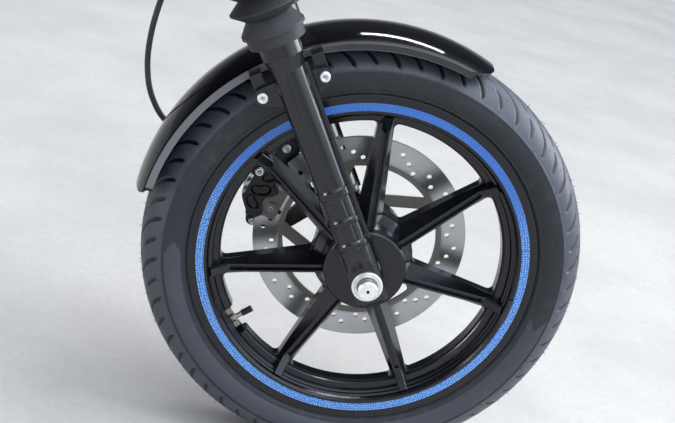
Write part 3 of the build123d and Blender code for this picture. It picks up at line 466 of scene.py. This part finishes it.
def makeHairs():
    chance = random.Random(hairs["seed"])
    points, faces = [], []
    for k in range(hairs["count"]):
        spread = chance.uniform(-hairs["jitter"], hairs["jitter"])
        turn = math.radians(360 * (k + spread) / hairs["count"])
        if abs(math.degrees(turn) - 270) < hairs["bare"]:  # where the tyre stands
            continue
        lean = math.asin(chance.choice(hairs["rows"]))
        out = Vector((math.cos(turn) * math.cos(lean), math.sin(lean),
                      math.sin(turn) * math.cos(lean)))
        base = onWheel(tyre["crownMiddle"] * math.cos(turn), 0,
                       tyre["crownMiddle"] * math.sin(turn)) + out * hairs["root"] * mm
        bend = Vector([chance.uniform(-0.5, 0.5) for _ in range(3)]) * hairs["bend"]
        way = (out + bend).normalized()
        tip = base + way * chance.uniform(hairs["shortest"], 1) * hairs["length"] * mm
        side = out.cross(Vector(hairs["askew"])).normalized() * hairs["thick"] * mm
        other = out.cross(side).normalized() * hairs["thick"] * mm
        first = len(points)
        points += [base + side, base - side * 0.5 + other, base - side * 0.5 - other, tip]
        faces += [(first, first + 1, first + 3), (first + 1, first + 2, first + 3),
                  (first + 2, first, first + 3)]
    newPiece("tyre_hairs", points, faces, mattRubber("hair_rubber"), "wheel")


# Socket bolts: radii of head, six-sided recess and shank, heights, and the places of each kind,
# on the leg for the mudguard and caliper and on a circle about the axle for the disc
bolts = {
    "mudguard": {"x": (-42, 38), "y": 83, "z": 272,
                 "head": 7.0, "tall": 5.5, "socket": 2.7, "shank": 4.0, "long": 16.0},
    "caliper": {"x": -52, "y": 68.5, "z": (62, 153),
                "head": 6.5, "tall": 5.5, "socket": 3.0, "shank": 4.0, "long": 21.5},
    "disc": {"circle": 49, "y": 57, "count": 5, "turned": 20,
             "head": 7.0, "tall": 4.0, "socket": 2.9, "shank": 4.0, "long": 4.9},
}
boltShape = {"steps": 36, "shankEdge": 0.5, "seatEdge": 0.3, "topEdge": 0.9, "topDrop": 1.1,
             "mouth": 0.5, "recess": 3.0, "point": 3.3, "pointRadius": 0.2}


def addBolt(points, faces, base, direction, size):
    shape = boltShape
    out = direction.normalized()
    side = out.orthogonal().normalized()
    other = out.cross(side)
    head, tall, shank, end = size["head"], size["tall"], size["shank"], size["long"]
    rings = [(shank - shape["shankEdge"], -end), (shank, shape["shankEdge"] - end), (shank, 0),
             (head - shape["seatEdge"], 0), (head, shape["seatEdge"]),
             (head, tall - shape["topDrop"]), (head - shape["topEdge"], tall),
             (size["socket"] + shape["topEdge"], tall), ("hex", tall - shape["mouth"]),
             ("hex", tall - shape["recess"]), (shape["pointRadius"], tall - shape["point"])]
    rows = []
    for k in range(shape["steps"]):
        turn = 2 * math.pi * k / shape["steps"]
        corner = math.radians((math.degrees(turn) % 60) - 30)
        row = []
        for radius, height in rings:
            if radius == "hex":
                radius = size["socket"] / math.cos(corner)
            row.append(base + (side * math.cos(turn) * radius + other * math.sin(turn) * radius
                               + out * height) * mm)
        rows.append(row)
    recessEnd = len(points) + len(rings) - 1
    addGrid(points, faces, rows)
    faces.append(tuple(recessEnd + k * len(rings) for k in range(shape["steps"])))


def makeBolts():
    zinc = rawMetal("socket_zinc", boltGrain)
    guard, clamp, disc = bolts["mudguard"], bolts["caliper"], bolts["disc"]
    points, faces = [], []
    for side in (-1, 1):
        for x in guard["x"]:
            addBolt(points, faces, onLeg(x, side * guard["y"], guard["z"]),
                    Vector((0, side, 0)), guard)
    newPiece("mudguard_socket_bolts", points, faces, zinc, "fork", "mudguard_bolts")
    points, faces = [], []
    for z in clamp["z"]:
        addBolt(points, faces, onLeg(clamp["x"], clamp["y"], z), Vector((0, -1, 0)), clamp)
    newPiece("caliper_socket_bolts", points, faces, zinc, "fork", "caliper_bolts")
    points, faces = [], []
    for k in range(disc["count"]):
        turn = math.radians(disc["turned"] + 360 / disc["count"] * k)
        place = onWheel(disc["circle"] * math.cos(turn), disc["y"],
                        disc["circle"] * math.sin(turn))
        addBolt(points, faces, place, Vector((0, 1, 0)), disc)
    newPiece("disc_socket_bolts", points, faces, rawMetal("socket_black", boltGrain), "wheel",
             "disc_bolts")


# Caliper: cast finger with hollows, cut back so that the pads' ears show under it, and behind it
# a bridge and the cylinders' plates. Places are (out, along), as in onCaliper
caliper = {"middle": (158.0, -2.0), "face": 38.0, "back": 50.0, "taper": 0.4, "roundOff": 2.6,
           "steps": 30, "between": 8, "crowded": 1.35, "hollowFloor": 0.66,
           "bridgeY": (42, 66), "bridgeBetween": 5, "bridgeBevel": 1.5}
fingerOutline = [(178.6, -29.4), (175.6, -36.6), (166.5, -39.2), (159.2, -34.6),
                 (146.5, -36.0), (142.4, -27.0), (140.6, -18.3), (132.5, -12.7), (136.0, -4.6),
                 (144.7, 3.1), (145.0, 12.0), (139.5, 21.0), (140.6, 30.0), (147.0, 34.5),
                 (160.0, 29.5), (168.2, 22.0), (175.0, 13.0), (177.6, 5.0), (175.8, -2.0),
                 (178.4, -9.0), (176.0, -16.0), (179.0, -22.0)]
bridgeOutline = [(177, -28), (174, -35), (166, -37.5), (158, -34), (155, -22), (155, 0),
                 (155, 24), (159, 29), (166.5, 21), (173.5, 12), (176, 0), (176.5, -14)]
# hollows: middle, half length and half width, turn from outward, depth
hollows = [((154.0, -26.0), (9.6, 6.4), 30, 2.8), ((152.0, -6.6), (11.6, 8.2), 35, 3.4),
           ((160.5, -2.6), (9.0, 7.0), -10, 3.4), ((157.0, 16.6), (10.6, 7.0), -25, 2.8),
           ((162.5, 11.5), (6.5, 6.0), 0, 2.8)]
# plates: rounds (out, along, radius) that the outline is pulled round, its steps, from y, to y
# and bevel. They are the cylinders' housing, each cylinder with its cap, and the slider's ear
plates = [([(132, -20, 21), (132, 20, 21), (164, 0, 14.5), (152, 24, 12)], 96, 63.5, 86, 3),
          ([(132, -20, 19)], 48, 80, 92, 2), ([(132, -20, 11)], 48, 88, 90.5, 0.8),
          ([(132, 20, 19)], 48, 80, 92, 2), ([(132, 20, 11)], 48, 88, 90.5, 0.8),
          ([(141.9, 48.2, 9.5), (152, 24, 12), (132, 20, 18)], 96, 78, 86, 1.5)]
sliders = [{"at": [(169.5, -29, 38.2)],
            "head": 6.0, "tall": 4.2, "socket": 2.7, "shank": 4.0, "long": 39.5},
           {"at": [(141.9, 48.2, 62.5)],
            "head": 5.2, "tall": 3.0, "socket": 2.3, "shank": 4.0, "long": 23.5}]
padPins = [{"at": [(131, -18.5, 45.4), (130, 15, 45.4)],
            "head": 3.3, "tall": 1.2, "socket": 1.0, "shank": 2.4, "long": 17}]


def smoothLoop(corners, between):
    # closed curve through the corners
    loop = []
    count = len(corners)
    for k in range(count):
        a, b, c, d = [Vector(corners[(k + step) % count]) for step in (-1, 0, 1, 2)]
        for step in range(between):
            s = step / between
            loop.append(0.5 * (2 * b + (c - a) * s + (2 * a - 5 * b + 4 * c - d) * s * s
                               + (3 * b - a - 3 * c + d) * s * s * s))
    return loop


def hullLoop(rounds, steps):
    # the outline pulled tight round some rounds
    loop = []
    for k in range(steps):
        way = Vector((math.cos(2 * math.pi * k / steps), math.sin(2 * math.pi * k / steps)))
        best = max(rounds, key=lambda given: Vector(given[:2]).dot(way) + given[2])
        loop.append(Vector(best[:2]) + way * best[2])
    return loop


def hollowDepth(out, along):
    depth = 0
    for middle, half, turn, deep in hollows:
        c, s = math.cos(math.radians(turn)), math.sin(math.radians(turn))
        u, v = out - middle[0], along - middle[1]
        reach = math.hypot((u * c + v * s) / half[0], (v * c - u * s) / half[1])
        depth = max(depth, deep * (1 - smooth(caliper["hollowFloor"], 1.0, reach)))
    return depth


def addFinger(points, faces):
    # each row runs from the middle of the face out to its rounded edge, and then back
    rows = []
    middle = Vector(caliper["middle"])
    for spot in smoothLoop(fingerOutline, caliper["between"]):
        row = []
        reach = (spot - middle).length
        for step in range(caliper["steps"] + 1):
            share = 1 - (1 - step / caliper["steps"]) ** caliper["crowded"]
            place = middle + (spot - middle) * share
            inside = reach * (1 - share)
            edge = caliper["roundOff"] * (1 - smooth(0, caliper["roundOff"], inside))
            row.append(onCaliper(*place, caliper["face"] + max(edge, hollowDepth(*place))))
        inner = spot - (spot - middle).normalized() * caliper["taper"]
        row.append(onCaliper(*inner, caliper["back"]))
        rows.append(row)
    addGrid(points, faces, rows)


def addPlate(points, faces, loop, y0, y1, bevel):
    # walls, bevels and caps of a flat casting between y0 and y1
    middle = sum(loop, Vector((0, 0))) / len(loop)
    rows = []
    for spot in loop:
        inner = spot + (middle - spot).normalized() * bevel
        rows.append([onCaliper(*middle, y0), onCaliper(*inner, y0), onCaliper(*spot, y0 + bevel),
                     onCaliper(*spot, y1 - bevel), onCaliper(*inner, y1), onCaliper(*middle, y1)])
    addGrid(points, faces, rows)


def boltsOnCaliper(sizes):
    points, faces = [], []
    for size in sizes:
        for place in size["at"]:
            addBolt(points, faces, onCaliper(*place), Vector((0, -1, 0)), size)
    return points, faces


def makeCaliper():
    points, faces = [], []
    addFinger(points, faces)
    bridge = smoothLoop(bridgeOutline, caliper["bridgeBetween"])
    addPlate(points, faces, bridge, *caliper["bridgeY"], caliper["bridgeBevel"])
    for rounds, steps, y0, y1, bevel in plates:
        addPlate(points, faces, hullLoop(rounds, steps), y0, y1, bevel)
    newPiece("caliper_casting", points, faces, caliperFinish(), "fork", "caliper_body")
    points, faces = boltsOnCaliper(sliders)
    newPiece("slider_bolts", points, faces, rawMetal("slider_zinc", boltGrain), "fork",
             "caliper_sliders")
    points, faces = boltsOnCaliper(padPins)
    newPiece("pad_pins", points, faces, rawMetal("pin_steel", boltGrain), "fork")


# Black lacquer, with painted highlights: bright bare metal patches on the rim between the
# finger's lobes, and lighter edges
caliperLook = {"colour": (0.0035, 0.004, 0.005), "dust": (0.12, 0.12, 0.12),
               "edgeHighlight": (0.08, 0.085, 0.09), "bare": (0.62, 0.63, 0.66),
               "rimFrom": (172.5, 175.5), "rimTurns": (158, 168.5, 0.8),
               "broad": (45, 5, 0.65), "cast": (520, 3, 0.6), "rough": 0.3, "depth": 0.00012}


def caliperFinish():
    look = caliperLook
    board, feed = newFinish("caliper_black", Specular_IOR_Level=0.32)
    radius, turn, _ = board.aboutAxle()
    broad, cast = board.noises(look, "broad", "cast")
    # painted highlight: patches of bright bare metal on the rim between the lobes stand for the
    # highlights there
    rim = radius.ramp(*look["rimFrom"]) * turn.band(*look["rimTurns"])
    worn = (broad + rim * 0.5).ramp(0.78, 0.86) * rim
    tint = board.mix(broad.ramp(0.45, 0.75) * 0.12, look["colour"], look["dust"])
    # painted highlight along the edges
    tint = board.mix(board.edges() * 0.6, tint, look["edgeHighlight"])
    tint = board.mix(worn, tint, look["bare"])
    return feed(Base_Color=tint, Metallic=worn, Roughness=look["rough"] + broad * 0.16,
                Normal=board.bump(cast, look["depth"]))


# Reflective tape: small pale cells, with painted light that makes the tape darker at its top and
# paler elsewhere, and cuts across it. Cells are per millimetre, along is how many millimetres of
# tape there are to a degree
tape = {"blue": (0.010, 0.115, 0.47), "pale": (0.31, 0.62, 0.90), "cut": (0.01, 0.03, 0.12),
        "cells": 0.3, "jitter": 0.4, "along": 3.77, "top": (28, 160, 14), "least": 0.2,
        "cuts": (17.0, 138.8, 175.0, -35.7), "cutHalf": 0.1, "cutSoft": 0.12,
        "worn": (90, 4, 0.7), "rough": 0.32, "depth": 0.00018}


def tapeFinish():
    board, feed = newFinish("blue_tape", Coat_Weight=0.4, Coat_Roughness=0.15)
    radius, turn, _ = board.aboutAxle()
    worn, = board.noises(tape, "worn")
    cells = board.node("TexVoronoi", {"voronoi_dimensions": "2D"},
                       {"Vector": board.vector(radius, turn * tape["along"]),
                        "Scale": tape["cells"], "Randomness": tape["jitter"]})
    cells = 1 - cells.ramp(0.06, 0.44)
    # painted light: the pale cells show less towards the top, where the tape is darker, and more
    # at its left and bottom, where it is paler
    paintedLightShare = tape["least"] + (1 - tape["least"]) * (1 - turn.band(*tape["top"]))
    tint = board.mix((cells * 0.9 + 0.08) * paintedLightShare, tape["blue"], tape["pale"])
    cut = 0
    for at in tape["cuts"]:
        cut = turn.band(at - tape["cutHalf"], at + tape["cutHalf"], tape["cutSoft"]) + cut
    tint = board.mix(cut, tint, tape["cut"])
    return feed(Base_Color=tint, Roughness=tape["rough"] + worn * 0.16,
                Normal=board.bump(cells - cut, tape["depth"]))


# Turned steel with fine rings, brighter where the pads sweep
discLook = {"steel": (0.40, 0.41, 0.42), "ring": (0.27, 0.27, 0.27), "bright": (0.52, 0.53, 0.54),
            "stain": (0.3, 0.27, 0.24), "swept": (117, 147, 0.6), "rings": 2.5, "along": 0.02,
            "spun": (1.0, 4, 0.7), "broad": (22, 4, 0.6), "rough": 0.26, "depth": 0.00005}


def discFinish():
    look = discLook
    board, feed = newFinish("disc_steel", Metallic=1.0)
    radius, turn, y = board.aboutAxle()
    spun = board.vector(radius * look["rings"], turn * look["along"], y)
    rings = board.noise(spun, *look["spun"])
    broad, = board.noises(look, "broad")
    swept = radius.band(*look["swept"])
    tint = board.mix(rings * 0.5, look["steel"], look["ring"])
    tint = board.mix(swept * 0.35, tint, look["bright"])
    tint = board.mix(broad.ramp(0.45, 0.7) * 0.25, tint, look["stain"])
    return feed(Base_Color=tint, Roughness=look["rough"] + rings * 0.16 - swept * 0.04,
                Normal=board.bump(rings, look["depth"]))


# Bare nut at the rim and a ribbed black cap
valveLook = {"cap": (0.012, 0.012, 0.013), "nut": (0.6, 0.56, 0.48), "nutFrom": (184.6, 185.2),
             "ribs": 12, "worn": (200, 3), "rough": 0.35, "depth": 0.0002}


def valveFinish():
    look = valveLook
    board, feed = newFinish("valve_parts")
    radius, turn, _ = board.aboutAxle()
    metal = radius.ramp(*look["nutFrom"])
    ribs = (turn * look["ribs"]).sine() * (1 - metal)
    worn, = board.noises(look, "worn")
    return feed(Base_Color=board.mix(metal, look["cap"], look["nut"]), Metallic=metal,
                Roughness=look["rough"] + worn * 0.2,
                Normal=board.bump(ribs + worn, look["depth"]))


# Satin black, with a painted highlight along its ridges and a thin one, partly dust, round the
# rim's edge, and a few chips by the balance weight
wheelLook = {"colour": (0.004, 0.0048, 0.0075), "dust": (0.34, 0.33, 0.3),
             "edgeHighlight": (0.13, 0.14, 0.155), "chip": (0.55, 0.55, 0.55), "barrel": (192, 205, 1),
             "rimLine": (231.2, 232.8, 0.3), "chipTurns": (-24, -2, 3),
             "chipRadii": (203, 208, 1.2), "edge": 0.0008,
             "broad": (10, 5, 0.62), "smear": (42, 5, 0.7), "fine": (1000, 2),
             "flake": (330, 3, 0.8), "rough": 0.1, "depth": 0.00001}


def wheelPaint():
    look = wheelLook
    board, feed = newFinish("wheel_black", Specular_IOR_Level=0.44)
    radius, turn, _ = board.aboutAxle()
    broad, smear, fine, flake = board.noises(look, "broad", "smear", "fine", "flake")
    chips = turn.band(*look["chipTurns"]) * radius.band(*look["chipRadii"])
    chips = chips * flake.ramp(0.66, 0.69)
    dust = smear.ramp(0.45, 0.75) * broad.ramp(0.45, 0.7)
    barrel = radius.band(*look["barrel"])
    # painted highlight: lighter ridges outside the barrel, and a lighter line at the rim's edge
    # that is partly dust and partly a painted highlight
    edgeHighlight = board.edges(look["edge"]) * (1 - barrel) * 0.55
    edgeHighlight = edgeHighlight + radius.band(*look["rimLine"]) * 0.45
    tint = board.mix(dust * (0.03 + barrel * 0.07), look["colour"], look["dust"])
    tint = board.mix(edgeHighlight, tint, look["edgeHighlight"])
    tint = board.mix(chips, tint, look["chip"])
    return feed(Base_Color=tint, Roughness=look["rough"] + smear * 0.16 + dust * 0.2,
                Normal=board.bump(fine, look["depth"]))


# Deep gloss on the crown, duller behind; the flange that is turned down is satin and greyer.
# The front's start and end are behind the axle
guardLook = {"colour": (0.002, 0.002, 0.003), "flange": (0.17, 0.17, 0.18),
             "edgeHighlight": (0.32, 0.32, 0.34), "dust": (0.3, 0.3, 0.3), "flangeY": (59.6, 60.8),
             "frontFrom": 190, "frontTo": 90, "coat": 0.9, "edge": 0.0009,
             "haze": (30, 5, 0.65), "speck": (700, 2), "rough": 0.06, "speckDepth": 0.00001,
             "waveDepth": 0.0002}


def guardPaint():
    look = guardLook
    board, feed = newFinish("guard_black", IOR=1.26, Coat_Roughness=0.03)
    x, y, _ = board.millimetres(board.place())
    flange = y.size().ramp(*look["flangeY"])
    haze, speck = board.noises(look, "haze", "speck")
    front = x.ramp(axle.x * 1000 - look["frontFrom"], axle.x * 1000 - look["frontTo"])
    lip = flange * (1 - front * 0.92)
    tint = board.mix(lip, look["colour"], look["flange"])
    # painted highlight along the flange's edges
    tint = board.mix(board.edges(look["edge"]) * flange * 0.8, tint, look["edgeHighlight"])
    tint = board.mix(haze.ramp(0.5, 0.8) * 0.02, tint, look["dust"])
    waves = board.bump(haze, look["waveDepth"], 0.25)
    return feed(Base_Color=tint, Roughness=look["rough"] + lip * 0.2 + haze * 0.05,
                Coat_Weight=front * look["coat"],
                Normal=board.bump(speck, look["speckDepth"], 0.6, waves))


# Zinc head with turned rings, painted shade in the two grooves on its face, and a darker sunk
# middle
axleLook = {"zinc": (0.92, 0.92, 0.90), "dull": (0.62, 0.61, 0.57), "groove": (0.10, 0.10, 0.10),
            "middle": (0.04, 0.03, 0.02), "inner": (12.9, 13.8, 0.25), "outer": (16.2, 16.7, 0.2),
            "faceY": -124, "middleTo": (1.9, 2.3), "ringPitch": 6, "blot": (160, 4, 0.6),
            "rough": 0.32, "depth": 0.00004}


def axleFinish():
    look = axleLook
    board, feed = newFinish("axle_zinc", Metallic=1.0)
    radius, _, y = board.aboutAxle()
    rings = (radius * look["ringPitch"]).sine()
    blot, = board.noises(look, "blot")
    groove = radius.band(*look["inner"]) + radius.band(*look["outer"]) * 0.6
    tint = board.mix(blot.ramp(0.4, 0.7) * 0.4, look["zinc"], look["dull"])
    # painted shade in the two grooves on the head's face
    tint = board.mix(groove * (y > look["faceY"]), tint, look["groove"])
    tint = board.mix(1 - radius.ramp(*look["middleTo"]), tint, look["middle"])
    return feed(Base_Color=tint, Roughness=look["rough"] + blot * 0.2,
                Normal=board.bump(rings + blot, look["depth"]))


# Rubber hose with the fine spiral of its outer wrap
hoseLook = {"rubber": (0.018, 0.018, 0.02), "dust": (0.13, 0.13, 0.13), "wrap": 2.4,
            "lean": 0.6, "blot": (60, 4), "rough": 0.46, "depth": 0.00012}


def hoseFinish():
    look = hoseLook
    board, feed = newFinish("hose_rubber", Specular_IOR_Level=0.5)
    x, y, z = board.millimetres(board.place())
    wrap = ((x + z + y * look["lean"]) * look["wrap"]).sine()
    blot, = board.noises(look, "blot")
    tint = board.mix(blot.ramp(0.4, 0.75) * 0.2, look["rubber"], look["dust"])
    return feed(Base_Color=tint, Roughness=look["rough"] + blot * 0.15,
                Normal=board.bump(wrap, look["depth"]))


def dressFrame():
    dressCad(wheelPaint(), "wheel_casting")
    dressCad(satinPaint("cast_black"), "caliper_bracket", "balance_weight", "fork_cap_right",
             "fork_cap_left")
    dressCad(satinPaint("fork_black"), "fork_lower_right", "fork_lower_left",
             "mudguard_stay_right", "mudguard_stay_left")
    dressCad(satinPaint("yoke_black"), "lower_yoke", "upper_yoke")
    dressCad(guardPaint(), "mudguard")
    dressCad(satinPaint("carrier_olive"), "disc_carrier")
    dressCad(axleFinish(), "axle")
    dressCad(rawMetal("bright_zinc"), "axle_nut", "hose_banjo", "hose_block", "stem_nut")
    dressCad(discFinish(), "brake_disc")
    dressCad(rawMetal("machined_steel"), "steering_stem", "wheel_bearing_right",
             "wheel_bearing_left", "axle_spacer_right", "axle_spacer_left")
    dressCad(rawMetal("hard_chrome"), "stanchion_right", "stanchion_left")
    dressCad(mattRubber("gaiter_rubber"), "gaiter_right", "gaiter_left")
    dressCad(hoseFinish(), "brake_hose")
    dressCad(valveFinish(), "valve_stem")
    dressCad(tapeFinish(), "rim_tape_right", "rim_tape_left")
    dressCad(mattRubber("pad_plate"), "brake_pads")


# Pale concrete floor, its size in metres
floorLook = {"size": 60, "colour": (0.64, 0.61, 0.56), "cloudShade": 0.86, "grainShade": 0.72,
             "speckColour": (0.3, 0.29, 0.28), "cloud": (3.2, 6, 0.6), "grain": (70, 5, 0.7),
             "speck": (260, 2), "rough": 0.5, "depth": 0.0004}
# Sky: its colours by height, from straight down (0) to straight up (1), and a bright window with
# the way to it from the object
sky = {"stops": [(0.0, (0.10, 0.10, 0.10)), (0.48, (0.32, 0.33, 0.35)),
                 (0.54, (0.26, 0.27, 0.29)), (0.62, (0.05, 0.052, 0.06)),
                 (0.88, (0.05, 0.053, 0.065)), (1.0, (1.1, 1.15, 1.25))],
       "bright": (2.1, 2.3, 2.7), "window": (0.55, -0.5, 0.67)}
# Lamps: place from the axle and size in metres, and power in watts. Mirrored ones show only as
# streaks in the paint, and the soft one only lights
lampColour = (0.95, 0.975, 1.0)
lamps = {
    "strip": {"stand": (0.7, -1.4, 2.0), "size": (0.08, 0.9), "power": 14, "mirrored": True},
    "rear": {"stand": (0.3, 1.9, 2.2), "size": (1.2, 0.12), "power": 10, "mirrored": True},
    "left": {"stand": (-2.6, -1.2, 0.5), "size": (0.45, 1.0), "power": 24, "mirrored": True},
    "flare": {"stand": (2.6, 0.9, 1.1), "size": (1.5, 1.3), "power": 48, "mirrored": True},
    "nose": {"stand": (1.9, 1.85, 1.35), "size": (0.9, 0.7), "power": 5, "mirrored": True},
    "soft": {"stand": (2.2, -0.3, 3.5), "size": (3.0, 3.0), "power": 125, "mirrored": False},
}


def setFloor():
    look = floorLook
    low = cadBox[0]
    bpy.ops.mesh.primitive_plane_add(size=look["size"], location=(axle.x, axle.y, low[2]))
    floor = bpy.context.object
    floor.name = "floor"
    board, feed = newFinish("pale_floor")
    cloud, grain, speck = board.noises(look, "cloud", "grain", "speck")
    clouded = [c * look["cloudShade"] for c in look["colour"]]
    grainy = [c * look["grainShade"] for c in look["colour"]]
    tint = board.mix(cloud.ramp(0.3, 0.7), look["colour"], clouded)
    tint = board.mix(grain.ramp(0.4, 0.75) * 0.35, tint, grainy)
    tint = board.mix(speck.ramp(0.64, 0.72) * 0.4, tint, look["speckColour"])
    floor.data.materials.append(feed(Base_Color=tint, Roughness=look["rough"] + grain * 0.2,
                                     Normal=board.bump(grain, look["depth"])))


def setSky():
    world = bpy.data.worlds.new("sky")
    bpy.context.scene.world = world
    world.use_nodes = True
    board = Board(world.node_tree)
    way = board.node("TexCoord")
    height = board.node("SeparateXYZ", {}, {0: way}, out=2)
    toward = board.dot(way, sky["window"])
    shade = board.node("ValToRGB", {"stops": sky["stops"]}, {0: height * 0.5 + 0.5})
    shade = board.mix(toward.ramp(0.2, 1.0) * height.ramp(0, 0.3), shade, sky["bright"])
    ground = world.node_tree.nodes["Background"]
    world.node_tree.links.new(shade.socket, ground.inputs["Color"])


def setLamps():
    for name, given in lamps.items():
        lamp = bpy.data.lights.new(name, "AREA")
        lamp.shape = "RECTANGLE"
        lamp.energy = given["power"]
        lamp.size, lamp.size_y = given["size"]
        lamp.color = lampColour
        holder = bpy.data.objects.new(name, lamp)
        stand = Vector(given["stand"])
        holder.location = axle + stand
        holder.rotation_euler = (-stand).to_track_quat("-Z", "Y").to_euler()
        holder.visible_glossy = given["mirrored"]
        holder.visible_diffuse = not given["mirrored"]
        bpy.context.scene.collection.objects.link(holder)


setCamera()
setFloor()
setSky()
setLamps()
print("camera and studio set")
dressFrame()
print("frame dressed")
makeTyre()
makeHairs()
print("tyre made")
makeBolts()
print("bolts made")
makeCaliper()
print("caliper made")
bpy.context.scene.view_settings.view_transform = "Standard"
